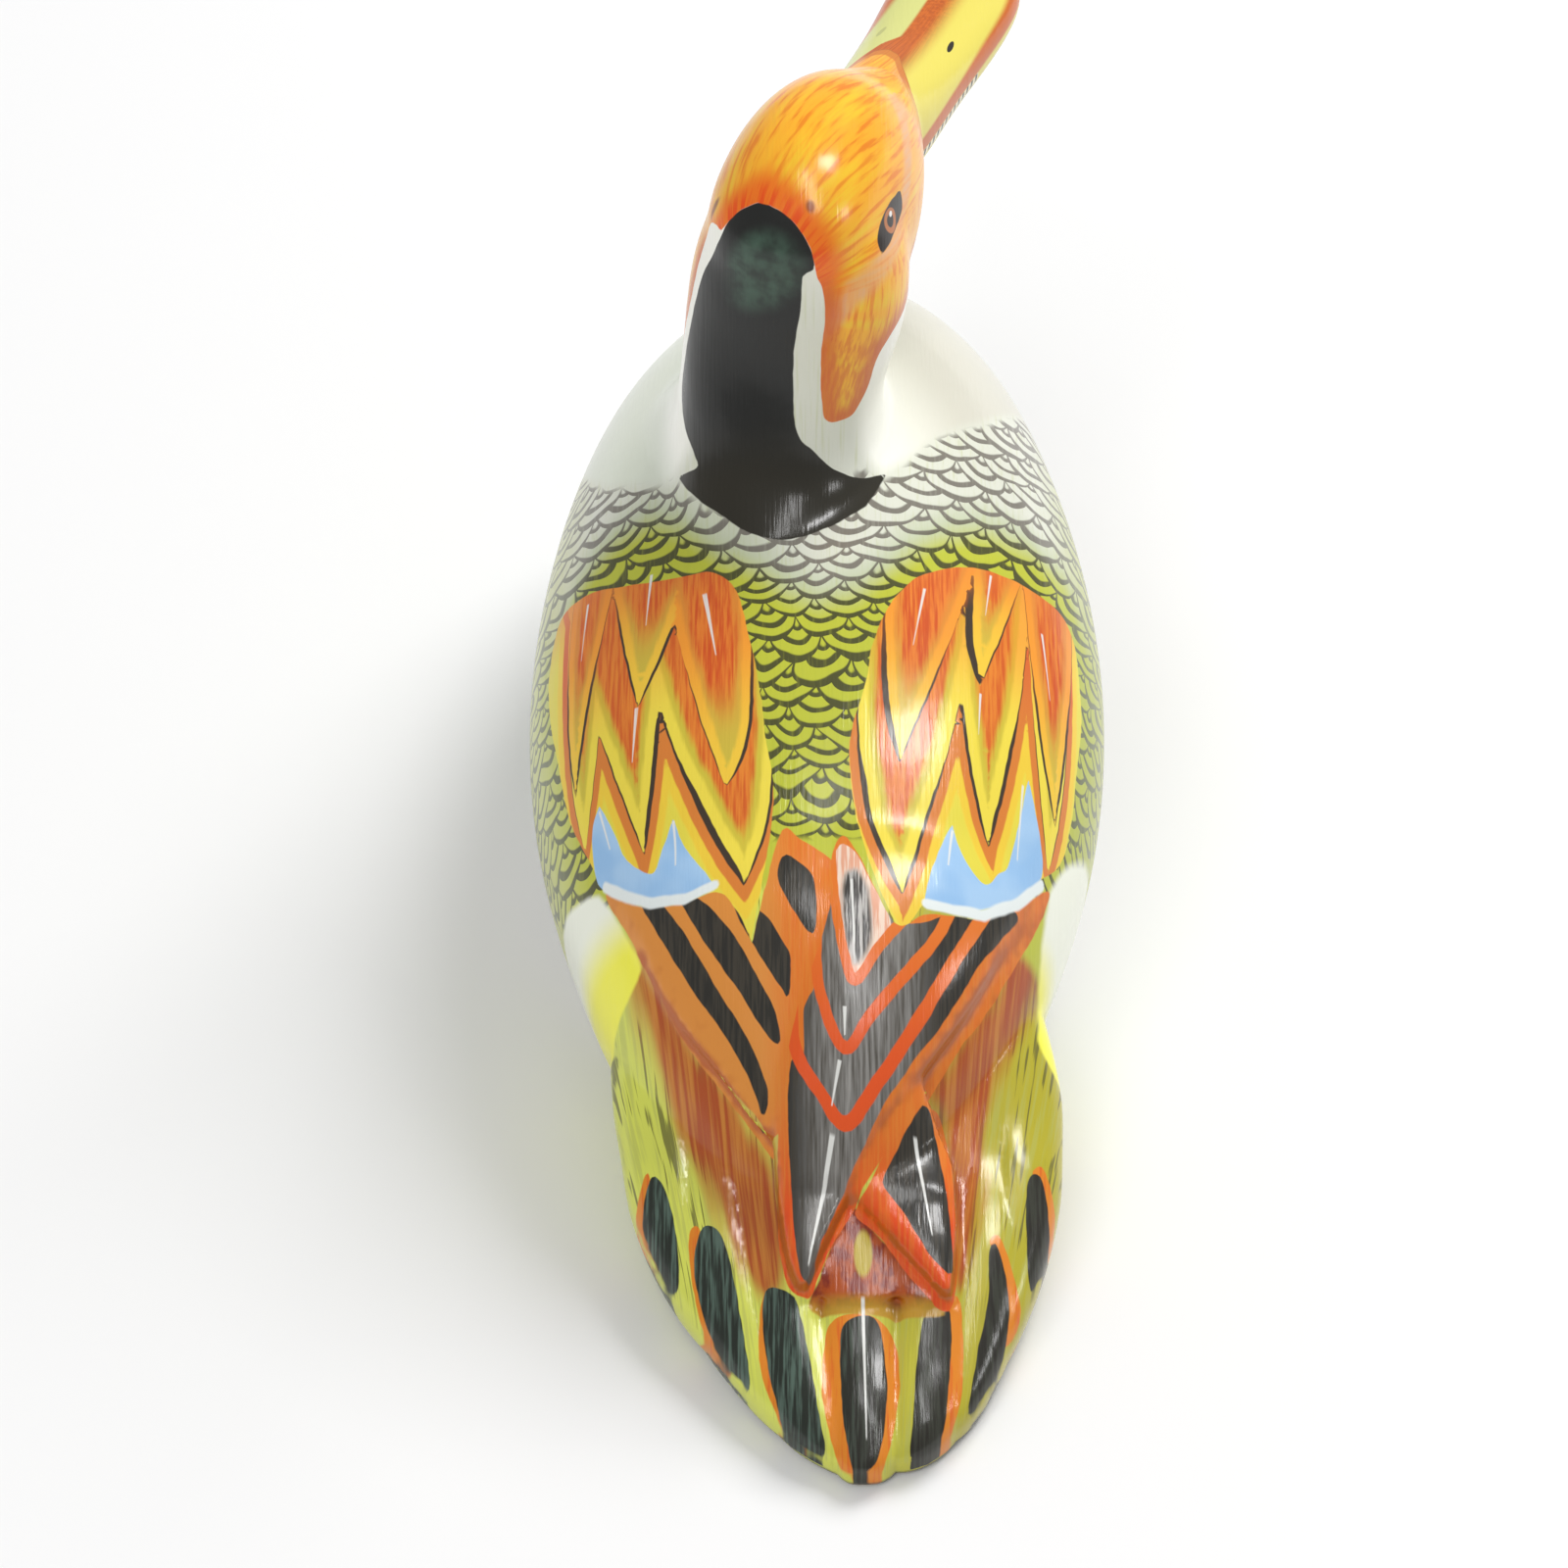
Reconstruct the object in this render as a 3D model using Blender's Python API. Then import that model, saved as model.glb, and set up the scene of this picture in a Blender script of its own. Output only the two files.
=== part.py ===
"""A carved wooden duck with its head turned to its right, in one piece on a flat underside.

The duck faces -Y, its tail points to +Y and its own right side is at -X.
Sizes are in millimetres up to the last step, which turns the mesh into metres.
A station is a distance forward of the tail's tip.
"""

import math

import bmesh
import bpy
import numpy as np

# Driving sizes
BODY_LENGTH = 298.0
BODY_WIDTH = 122.0
BACK_HEIGHT = 92.0
BREAST_SHIFT = 2.4
TAIL_LENGTH = 125.0
TAIL_WIDTH = 90.0
RUMP_HEIGHT = 60.0
TAIL_SHIFT = 9.5
NECK_STATION = 209.0
NECK_SHIFT = 7.0
NECK_WIDTH = 43.0
NECK_DEPTH = 49.0
HEAD_TOP = 165.0
HEAD_WIDTH = 39.0
HEAD_SHIFT = 3.0
HEAD_TURN = math.radians(20.5)
BILL_REACH = 110.0
BILL_WIDTH = 28.0

# How fine the carving is, and how often it is sanded
VOXEL = 1.5
NECK_ROUNDS = 36
BODY_ROUNDS = 4
TRIANGLES = 9200
MERGE = 0.05
METRES = 0.001

WOOD_COLOUR = (0.55, 0.5, 0.09, 1.0)
WOOD_ROUGHNESS = 0.25


def spline_rows(table, count):
    """Count rows along a natural cubic spline through the rows of a table."""
    table = np.array(table, float)
    steps = np.linalg.norm(np.diff(table[:, :3], axis=0), axis=1)
    knots = np.concatenate([[0.0], np.cumsum(np.sqrt(steps))])
    gaps = np.diff(knots)
    size = len(knots)
    matrix = np.eye(size)
    right = np.zeros_like(table)
    for i in range(1, size - 1):
        matrix[i, i - 1 : i + 2] = gaps[i - 1], 2 * (gaps[i - 1] + gaps[i]), gaps[i]
        right[i] = 6 * ((table[i + 1] - table[i]) / gaps[i] - (table[i] - table[i - 1]) / gaps[i - 1])
    bend = np.linalg.solve(matrix, right)
    at = np.linspace(0, knots[-1], count)
    cell = np.clip(np.searchsorted(knots, at, side="right") - 1, 0, size - 2)
    span = gaps[cell][:, None]
    after = (at - knots[cell])[:, None]
    before = span - after
    low = bend[cell] * before**3 / (6 * span) + (table[cell] / span - bend[cell] * span / 6) * before
    high = bend[cell + 1] * after**3 / (6 * span) + (table[cell + 1] / span - bend[cell + 1] * span / 6) * after
    return low + high


def in_percent(table, *wholes):
    """A table whose columns are percentages, turned into millimetres. A whole of 100 keeps a column."""
    return np.array(table, float) * np.array(wholes) / 100


def ring(centre, across, up, half_width, above, below, fullness, count):
    """A closed outline round centre, half_width to each side. A fullness of 2 is an ellipse."""
    angle = np.linspace(0, 2 * math.pi, count, endpoint=False)
    side = np.sign(np.cos(angle)) * np.abs(np.cos(angle)) ** (2 / fullness) * half_width
    rise = np.sign(np.sin(angle)) * np.abs(np.sin(angle)) ** (2 / fullness)
    rise = np.where(rise > 0, rise * above, rise * below)
    return np.array(centre) + np.outer(side, across) + np.outer(rise, up)


def loft(name, rings):
    """A closed mesh object through the rings, with a flat cap on each end."""
    skin = bmesh.new()
    rows = [[skin.verts.new(point) for point in points] for points in rings]
    for near, far in zip(rows, rows[1:]):
        for i in range(len(near)):
            j = (i + 1) % len(near)
            skin.faces.new((near[i], near[j], far[j], far[i]))
    skin.faces.new(rows[0][::-1])
    skin.faces.new(rows[-1])
    bmesh.ops.recalc_face_normals(skin, faces=skin.faces)
    mesh = bpy.data.meshes.new(name)
    skin.to_mesh(mesh)
    skin.free()
    made = bpy.data.objects.new(name, mesh)
    bpy.context.scene.collection.objects.link(made)
    return made


# Trunk: station, half width, widest height, top, lowest point, fullness, lean to the duck's right
TRUNK = in_percent(
    (
        (16, 10, 20, 26, -11, 200, 0),
        (19, 33, 22, 39, -13, 200, 0),
        (26, 60, 28, 59, -15, 200, 0),
        (34, 79, 35, 75, -17, 205, 0),
        (45, 95, 41, 90, -17, 210, 2),
        (57, 100, 46, 99, -15, 215, 7),
        (69, 95, 48, 100, -13, 215, 12),
        (80.5, 83, 49, 95, -9, 210, 22),
        (89.5, 67, 48, 86, 0, 205, 56),
        (95.5, 47, 47, 76, 13, 200, 86),
        (98.5, 27, 47, 64, 29, 200, 98),
        (100, 5, 47, 51, 43, 200, 100),
    ),
    *(BODY_LENGTH, BODY_WIDTH / 2, BACK_HEIGHT, BACK_HEIGHT, BACK_HEIGHT, 1, BREAST_SHIFT),
)

# Tail: station, half width, height of the edge, height of the middle, shift to the duck's right
TAIL = in_percent(
    (
        (0, 7, 5, 10, 90),
        (2.5, 19, 7, 13, 106),
        (8, 38, 9, 19, 106),
        (17.5, 57, 12, 25, 94),
        (29, 76, 17, 34, 74),
        (46, 95, 25, 47, 56),
        (64, 101, 35, 65, 40),
        (82, 96, 45, 88, 11),
        (100, 87, 53, 100, -10),
    ),
    *(TAIL_LENGTH, TAIL_WIDTH / 2, RUMP_HEIGHT, RUMP_HEIGHT, TAIL_SHIFT),
)
TAIL_FULLNESS = 2.3
TAIL_DEPTH = 10.0
CREASE_ROUNDING = 5.0

# Neck: height, shift to the duck's left, distance forward, half width, reach ahead, reach behind
NECK = in_percent(
    (
        (30, 100, 8, 186, 160, 250),
        (46, 100, 6, 149, 144, 228),
        (54.5, 112, 2, 110, 118, 172),
        (59, 110, 1, 102, 106, 127),
        (64.5, 98, 0, 100, 100, 104),
        (74, 64, 0, 106, 100, 83),
        (85, 50, 0, 95, 96, 73),
        (92, 43, 2, 65, 72, 50),
    ),
    *(HEAD_TOP, NECK_SHIFT, 100, NECK_WIDTH / 2, NECK_DEPTH / 2, NECK_DEPTH / 2),
)
TURN_STARTS = 85.0
TURN_ENDS = 130.0

# Head: distance forward of the neck, half width, widest height, top, bottom
HEAD = in_percent(
    (
        (-22, 15, 86, 88.5, 82.5),
        (-20, 49, 86, 92, 76.5),
        (-13, 82, 85.5, 96.5, 69),
        (0, 100, 83, 100, 63),
        (14, 100, 82, 100, 63.5),
        (27, 87, 82.5, 97, 70),
        (36, 69, 83.5, 93.5, 74.5),
        (43, 51, 84, 91, 77.5),
        (47, 31, 85, 89.5, 80.5),
    ),
    *(100, HEAD_WIDTH / 2, HEAD_TOP, HEAD_TOP, HEAD_TOP),
)

# Bill: the same columns, with the first a share of its reach
BILL = in_percent(
    (
        (24, 72, 82, 92, 73.5),
        (33, 78, 82, 91, 74),
        (43, 84, 81, 88.5, 74.5),
        (57, 89, 80.5, 86, 75),
        (71, 96, 79.5, 84.5, 75.5),
        (88, 100, 79.5, 83.5, 76),
        (97, 78, 79.5, 82, 77),
        (100, 21, 79.5, 80.5, 78),
    ),
    *(BILL_REACH, BILL_WIDTH / 2, HEAD_TOP, HEAD_TOP, HEAD_TOP),
)

# Wing tips: station, outer edge, inner edge, height above the body. The right one lies on top.
RIGHT_TIP = (
    (31, 2.5, 4, 5),
    (35, 0.5, 6, 7),
    (41, -2.5, 7.2, 7.5),
    (52, -8.5, 8.7, 7.2),
    (59, -14, 8.6, 6.8),
    (68, -21, 6.3, 6.2),
    (79, -29, 2.5, 5.2),
    (91, -36, -2, 3.5),
    (106, -43.5, -4.5, 0.5),
    (112, -46, -5, -2),
)
LEFT_TIP = (
    (30, -24.2, -25.6, 5),
    (37, -17, -26.6, 6),
    (43, -11.5, -27, 6),
    (48, -6, -27, 5.5),
    (52, 2, -26.8, 5),
    (58, 11.5, -25.5, 4.5),
    (66, 18.5, -21, 4),
    (76, 26.5, -15, 3.6),
    (86, 32.7, -8, 3),
    (94, 36.5, -3, 2.2),
    (106, 42, 0, 0),
    (112, 44.5, 2, -2),
)
# The wood left under the two tips
STEP_UNDER_TIPS = (
    (30, 1, -22, 1.6),
    (44, 4, -24, 2.2),
    (62, 6, -20, 2.5),
)
TIP_WALL_DEPTH = 9.0

# Tail feathers: end and root of each one's middle, as x and station
FEATHERS = (
    (28, 37, 38, 80),
    (13.5, 17, 28.5, 68),
    (1.5, 2, 13, 62),
    (-8.5, 0, -6.5, 55),
    (-21.5, 2, -24, 60),
    (-31, 11, -39, 70),
    (-41, 37, -46, 80),
)
FEATHER_HALF_WIDTH = 6.9
FEATHER_HEIGHT = 2.4


def clamp(value):
    return np.clip(value, 0.0, 1.0)


def smooth_step(value):
    value = clamp(value)
    return value * value * (3 - 2 * value)


def column(rows, station, index):
    """One column of a lofted table at any station."""
    return np.interp(station, rows[:, 0], rows[:, index])


def arch(share, fullness):
    """The height of a superellipse at a share of its half width."""
    return clamp(1 - clamp(np.abs(share)) ** fullness) ** (1 / fullness)


def upper_side(x, station):
    """The height of the body's upper side over a point, where trunk and tail flow together."""
    trunk_rows = spline_rows(TRUNK, 200)
    tail_rows = spline_rows(TAIL, 200)
    widest = column(trunk_rows, station, 2)
    full = column(trunk_rows, station, 5)
    share = (x + column(trunk_rows, station, 6)) / column(trunk_rows, station, 1)
    over_trunk = widest + (column(trunk_rows, station, 3) - widest) * arch(share, full)
    over_trunk = np.where(station < trunk_rows[0, 0], 0, over_trunk)
    edge = column(tail_rows, station, 2)
    share = (x + column(tail_rows, station, 4)) / column(tail_rows, station, 1)
    over_tail = edge + (column(tail_rows, station, 3) - edge) * arch(share, TAIL_FULLNESS)
    apart = over_trunk - over_tail
    blend = np.sqrt(apart**2 + CREASE_ROUNDING**2)
    return (over_trunk + over_tail + blend) / 2


def trunk():
    """The body from the rump to the breast."""
    rings = []
    for station, width, widest, top, low, full, lean in spline_rows(TRUNK, 70):
        centre = (-lean, -station, widest)
        rings.append(ring(centre, (1, 0, 0), (0, 0, 1), width, top - widest, widest - low, full, 72))
    return loft("trunk", rings)


def tail():
    """The spread tail, a low fan that reaches the ground."""
    rings = []
    for station, width, edge, middle, shift in spline_rows(TAIL, 60):
        centre = (-shift, -station, edge)
        depth = edge + TAIL_DEPTH
        rings.append(ring(centre, (1, 0, 0), (0, 0, 1), width, middle - edge, depth, TAIL_FULLNESS, 72))
    return loft("tail", rings)


def wing_tip(name, table):
    """A folded wing's end, raised on the rump with steep sides."""
    across = np.linspace(0, 1, 25)
    rounding = 1 - 0.35 * np.abs(2 * across - 1) ** 6
    rings = []
    for station, outer, inner, height in spline_rows(table, 60):
        x = outer + (inner - outer) * across
        top = upper_side(x, np.full_like(x, station)) + height * rounding
        y = np.full_like(x, -station)
        upper = np.stack([x, y, top], 1)
        lower = np.stack([x, y, top - height - TIP_WALL_DEPTH], 1)
        rings.append(np.concatenate([upper, lower[::-1]]))
    return loft(name, rings)


def neck():
    """The neck, wide at its base, turning with the head as it rises."""
    rings = []
    for height, x, forward, width, ahead, behind in spline_rows(NECK, 50):
        turn = HEAD_TURN * clamp((height - TURN_STARTS) / (TURN_ENDS - TURN_STARTS))
        facing = np.array((-math.sin(turn), -math.cos(turn), 0))
        sideways = (facing[1], -facing[0], 0)
        centre = (x, -NECK_STATION - forward, height)
        rings.append(ring(centre, sideways, facing, width, ahead, behind, 2.1, 48))
    return loft("neck", rings)


def along_head(name, table, fullness):
    """The head or the bill, lofted forward in the direction that the head faces."""
    facing = np.array((-math.sin(HEAD_TURN), -math.cos(HEAD_TURN), 0))
    sideways = (facing[1], -facing[0], 0)
    middle = np.array((HEAD_SHIFT, -NECK_STATION - 4, 0))
    rings = []
    for forward, width, widest, top, low in spline_rows(table, 44):
        centre = middle + facing * forward + (0, 0, widest)
        rings.append(ring(centre, sideways, (0, 0, 1), width, top - widest, widest - low, fullness, 48))
    return loft(name, rings)


def forms():
    """The plain forms that the duck is put together from."""
    return [
        trunk(),
        tail(),
        wing_tip("step_under_tips", STEP_UNDER_TIPS),
        wing_tip("left_wing_tip", LEFT_TIP),
        wing_tip("right_wing_tip", RIGHT_TIP),
        neck(),
        along_head("head", HEAD, 2.15),
        along_head("bill", BILL, 2.6),
    ]


def join(pieces, name):
    """One mesh object that holds all the pieces' faces."""
    together = bmesh.new()
    for piece in pieces:
        together.from_mesh(piece.data)
        bpy.data.objects.remove(piece)
    mesh = bpy.data.meshes.new(name)
    together.to_mesh(mesh)
    together.free()
    made = bpy.data.objects.new(name, mesh)
    bpy.context.scene.collection.objects.link(made)
    return made


def apply_modifiers(made):
    """Turns the object's modifiers into plain mesh."""
    graph = bpy.context.evaluated_depsgraph_get()
    mesh = bpy.data.meshes.new_from_object(made.evaluated_get(graph))
    made.modifiers.clear()
    made.data = mesh


def points_of(mesh):
    points = np.empty(len(mesh.vertices) * 3, np.float32)
    mesh.vertices.foreach_get("co", points)
    return points.reshape(-1, 3).astype(float)


def fuse(duck):
    """Makes the overlapping forms one closed skin."""
    remesh = duck.modifiers.new("fuse", "REMESH")
    remesh.mode = "VOXEL"
    remesh.voxel_size = VOXEL
    apply_modifiers(duck)


def smooth(duck, group, rounds):
    """Sands the surface, where the vertex group says or all over."""
    sand = duck.modifiers.new("sand", "SMOOTH")
    sand.factor = 0.5
    sand.iterations = rounds
    if group:
        sand.vertex_group = group
    apply_modifiers(duck)


def mark_neck(duck):
    """A vertex group on the neck and its base, where head and body flow into each other."""
    points = points_of(duck.data)
    reach = np.hypot(points[:, 0] - NECK_SHIFT, points[:, 1] + NECK_STATION + 4)
    low = clamp((points[:, 2] - 70) / 8) * clamp((54 - reach) / 10)
    high = clamp((150 - points[:, 2]) / 15) * clamp((32 - reach) / 6)
    weight = np.where(points[:, 2] < 118, low, high)
    group = duck.vertex_groups.new(name="neck")
    for index in np.flatnonzero(weight > 0.01):
        group.add([int(index)], float(weight[index]), "REPLACE")
    return group.name


def carve_tail(duck):
    """Hollows the tail between its feathers and rounds each feather."""
    mesh = duck.data
    points = points_of(mesh)
    normals = np.array([vertex.normal[:] for vertex in mesh.vertices])
    x = points[:, 0]
    station = -points[:, 1]
    crest = np.zeros(len(points))
    for end_x, end_station, root_x, root_station in FEATHERS:
        along = np.array((root_x - end_x, root_station - end_station))
        length = np.linalg.norm(along)
        along = along / length
        from_end = np.stack([x - end_x, station - end_station], 1)
        share = from_end @ along / length
        aside = from_end @ np.array((-along[1], along[0])) / FEATHER_HALF_WIDTH
        crest = np.maximum(crest, np.sqrt(clamp(1 - aside**2)) * smooth_step((0.95 - share) / 0.45))
    fade = smooth_step((80 - station) / 25)
    on_wing = smooth_step((points[:, 2] - upper_side(x, station) - 0.5) / 1.5)
    move = FEATHER_HEIGHT * (crest - 0.6) * fade * (1 - on_wing)
    mesh.vertices.foreach_set("co", (points + normals * move[:, None]).astype(np.float32).ravel())
    mesh.update()


def saw_flat(duck):
    """Cuts the underside off level with the ground."""
    block = bmesh.new()
    block.from_mesh(duck.data)
    everything = block.verts[:] + block.edges[:] + block.faces[:]
    bmesh.ops.bisect_plane(block, geom=everything, plane_co=(0, 0, 0), plane_no=(0, 0, 1), clear_inner=True)
    rim = [edge for edge in block.edges if edge.is_boundary]
    bmesh.ops.holes_fill(block, edges=rim)
    bmesh.ops.remove_doubles(block, verts=block.verts, dist=MERGE)
    block.to_mesh(duck.data)
    block.free()


def thin_out(duck):
    """Brings the skin down to the number of triangles wanted, keeping its shape."""
    fewer = duck.modifiers.new("fewer", "DECIMATE")
    duck.data.calc_loop_triangles()
    fewer.ratio = TRIANGLES / len(duck.data.loop_triangles)
    fewer.use_collapse_triangulate = True
    apply_modifiers(duck)
    points = points_of(duck.data)
    points[np.abs(points[:, 2]) < 0.3, 2] = 0
    duck.data.vertices.foreach_set("co", points.astype(np.float32).ravel())


def place(duck):
    """Stands the duck on the origin, the middle of its underside, in metres."""
    points = points_of(duck.data)
    low = points.min(axis=0)
    middle = (low + points.max(axis=0)) / 2
    points -= (middle[0], middle[1], low[2])
    duck.data.vertices.foreach_set("co", (points * METRES).astype(np.float32).ravel())
    duck.data.update()


def painted_wood():
    """The varnished paint, in the colour that covers most of the body."""
    paint = bpy.data.materials.new("painted_wood")
    paint.use_nodes = True
    shader = paint.node_tree.nodes["Principled BSDF"]
    shader.inputs["Base Color"].default_value = WOOD_COLOUR
    shader.inputs["Roughness"].default_value = WOOD_ROUGHNESS
    shader.inputs["Metallic"].default_value = 0.0
    return paint


def main():
    for old in list(bpy.data.objects):
        bpy.data.objects.remove(old)
    duck = join(forms(), "carved_duck")
    fuse(duck)
    smooth(duck, mark_neck(duck), NECK_ROUNDS)
    smooth(duck, "", BODY_ROUNDS)
    carve_tail(duck)
    saw_flat(duck)
    thin_out(duck)
    place(duck)
    duck.data.materials.append(painted_wood())
    duck.data.shade_smooth()


if __name__ == "__main__":
    main()
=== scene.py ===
# %% [markdown]
# # A carved and painted wooden duck
#
# The object is one block of soft, pale wood, cut to the shape of a duck with a knife and rasp,
# sanded, painted by hand with a few brushes and coated with a glossy varnish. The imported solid
# has flat facets, too coarse to carry fine paint. So this file carves the same duck again, from
# the same tables, with a much finer skin, and then paints it.
#
# All sizes are in millimetres until the duck is placed. The duck faces -Y, its tail points to +Y,
# and its own right side, the right of the picture, is -X. A station is a distance forward of the
# tail's tip.

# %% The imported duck
import math

import bmesh
import bpy
import numpy as np
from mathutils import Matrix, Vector


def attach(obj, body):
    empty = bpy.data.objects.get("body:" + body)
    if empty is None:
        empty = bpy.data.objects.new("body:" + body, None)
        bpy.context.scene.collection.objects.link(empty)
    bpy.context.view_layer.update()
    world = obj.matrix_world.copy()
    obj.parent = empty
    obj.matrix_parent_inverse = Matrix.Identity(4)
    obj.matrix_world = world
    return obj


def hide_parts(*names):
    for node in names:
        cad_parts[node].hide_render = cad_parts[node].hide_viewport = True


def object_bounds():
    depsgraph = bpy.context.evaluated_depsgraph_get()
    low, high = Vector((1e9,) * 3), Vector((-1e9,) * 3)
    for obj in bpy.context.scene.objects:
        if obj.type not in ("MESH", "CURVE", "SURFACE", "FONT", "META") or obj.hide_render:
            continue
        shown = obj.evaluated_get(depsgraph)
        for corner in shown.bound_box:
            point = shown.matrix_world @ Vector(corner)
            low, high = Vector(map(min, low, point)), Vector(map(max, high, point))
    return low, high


METRES = 0.001
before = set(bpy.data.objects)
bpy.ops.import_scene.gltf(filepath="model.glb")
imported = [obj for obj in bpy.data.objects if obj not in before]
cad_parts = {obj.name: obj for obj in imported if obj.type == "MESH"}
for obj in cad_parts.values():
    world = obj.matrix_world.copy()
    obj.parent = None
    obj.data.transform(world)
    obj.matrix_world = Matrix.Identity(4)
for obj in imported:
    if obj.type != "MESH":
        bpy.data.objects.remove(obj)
solid_low, solid_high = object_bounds()
solid_size = [round((high - low) / METRES) for low, high in zip(solid_low, solid_high)]
print("the packed duck is", solid_size, "mm")

# %% [markdown]
# ## The forms
#
# A carver starts from a few plain forms: the trunk, the tail, the crossed wing tips, the neck, the
# head and the bill. They could be pushed out of a ball of mesh by hand, but a table can be
# measured from a picture and changed by a number. So each is a loft, which is a skin stretched
# over outlines that change from one end to the other. A spline through a short table gives the
# outlines between the rows.

# %% Splines and percentages
def spline_rows(table, count):
    """Count rows along a natural cubic spline through the rows of a table."""
    table = np.array(table, float)
    steps = np.linalg.norm(np.diff(table[:, :3], axis=0), axis=1)
    knots = np.concatenate([[0.0], np.cumsum(np.sqrt(steps))])
    gaps = np.diff(knots)
    size = len(knots)
    matrix = np.eye(size)
    right = np.zeros_like(table)
    for i in range(1, size - 1):
        matrix[i, i - 1 : i + 2] = gaps[i - 1], 2 * (gaps[i - 1] + gaps[i]), gaps[i]
        right[i] = 6 * ((table[i + 1] - table[i]) / gaps[i] - (table[i] - table[i - 1]) / gaps[i - 1])
    bend = np.linalg.solve(matrix, right)
    at = np.linspace(0, knots[-1], count)
    cell = np.clip(np.searchsorted(knots, at, side="right") - 1, 0, size - 2)
    span = gaps[cell][:, None]
    after = (at - knots[cell])[:, None]

    def pull(end, distance):
        """The part of the curve that one end of each gap gives."""
        straight = table[end] / span - bend[end] * span / 6
        return bend[end] * distance**3 / (6 * span) + straight * distance

    return pull(cell, span - after) + pull(cell + 1, after)


def in_percent(table, *wholes):
    """A table whose columns are percentages, turned into millimetres. A whole of 100 keeps a column."""
    return np.array(table, float) * np.array(wholes) / 100


print("50 percent of 80 mm is", in_percent([[50]], 80)[0, 0], "mm")

# %% Outlines and lofts
RING_POINTS = 96
ACROSS, UP = (1, 0, 0), (0, 0, 1)


def ring(centre, across, up, half_width, above, below, fullness, count=RING_POINTS):
    """A closed outline round centre, half_width to each side. A fullness of 2 is an ellipse."""
    angle = np.linspace(0, 2 * math.pi, count, endpoint=False)
    side = np.sign(np.cos(angle)) * np.abs(np.cos(angle)) ** (2 / fullness) * half_width
    rise = np.sign(np.sin(angle)) * np.abs(np.sin(angle)) ** (2 / fullness)
    rise = np.where(rise > 0, rise * above, rise * below)
    return np.array(centre) + np.outer(side, across) + np.outer(rise, up)


def loft(block, rings):
    """Adds a closed skin through the rings to the block, with a flat cap on each end."""
    rows = [[block.verts.new(point) for point in points] for points in rings]
    made = [block.faces.new(rows[0][::-1]), block.faces.new(rows[-1])]
    for near, far in zip(rows, rows[1:]):
        for i in range(len(near)):
            j = (i + 1) % len(near)
            made.append(block.faces.new((near[i], near[j], far[j], far[i])))
    bmesh.ops.recalc_face_normals(block, faces=made)


def clamp(value):
    """The value, kept between 0 and 1."""
    return np.clip(value, 0.0, 1.0)


def smooth_step(value):
    """Rises from 0 to 1 with a soft start and a soft end."""
    value = clamp(value)
    return value * value * (3 - 2 * value)


print("an outline of the body has", RING_POINTS, "points")

# %% [markdown]
# ## Trunk and tail
#
# The trunk is widest a little ahead of its middle and leans to the duck's right at the breast,
# as the photograph shows. The tail is a low fan that swings to the same side. A single loft for
# both would fold where the fan spreads, so they are two. Where they meet, the height of the upper
# side is a soft maximum, so the rump flows into the tail.

# %% Tables of the trunk and the tail
BODY_LENGTH = 298.0
BODY_WIDTH = 122.0
BACK_HEIGHT = 92.0
BREAST_SHIFT = 2.4
TAIL_LENGTH = 125.0
TAIL_WIDTH = 90.0
RUMP_HEIGHT = 60.0
TAIL_SHIFT = 9.5
# Station, half width, widest height, top, lowest point, fullness, lean to the duck's right
TRUNK = in_percent(
    (
        (16, 10, 20, 26, -11, 200, 0),
        (19, 33, 22, 39, -13, 200, 0),
        (26, 60, 28, 59, -15, 200, 0),
        (34, 79, 35, 75, -17, 205, 0),
        (45, 95, 41, 90, -17, 210, 2),
        (57, 100, 46, 99, -15, 215, 7),
        (69, 95, 48, 100, -13, 215, 12),
        (80.5, 83, 49, 95, -9, 210, 22),
        (89.5, 67, 48, 86, 0, 205, 56),
        (95.5, 47, 47, 76, 13, 200, 86),
        (98.5, 27, 47, 64, 29, 200, 98),
        (100, 5, 47, 51, 43, 200, 100),
    ),
    *(BODY_LENGTH, BODY_WIDTH / 2, BACK_HEIGHT, BACK_HEIGHT, BACK_HEIGHT, 1, BREAST_SHIFT),
)
# Station, half width, height of the edge, height of the middle, shift to the duck's right
TAIL = in_percent(
    (
        (0, 7, 5, 10, 90),
        (2.5, 19, 7, 13, 106),
        (8, 38, 9, 19, 106),
        (17.5, 57, 12, 25, 94),
        (29, 76, 17, 34, 74),
        (46, 95, 25, 47, 56),
        (64, 101, 35, 65, 40),
        (82, 96, 45, 88, 11),
        (100, 87, 53, 100, -10),
    ),
    *(TAIL_LENGTH, TAIL_WIDTH / 2, RUMP_HEIGHT, RUMP_HEIGHT, TAIL_SHIFT),
)
TAIL_FULLNESS = 2.3
TAIL_DEPTH = 10.0
CREASE_ROUNDING = 5.0
FINE_ROWS = 200
trunk_rows = spline_rows(TRUNK, FINE_ROWS)
tail_rows = spline_rows(TAIL, FINE_ROWS)
print("rows in the tables:", len(TRUNK), "and", len(TAIL))


# %% Trunk and tail
def column(rows, station, index):
    """One column of a lofted table at any station."""
    return np.interp(station, rows[:, 0], rows[:, index])


def arch(share, fullness):
    """The height of a superellipse at a share of its half width."""
    return clamp(1 - clamp(np.abs(share)) ** fullness) ** (1 / fullness)


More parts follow.
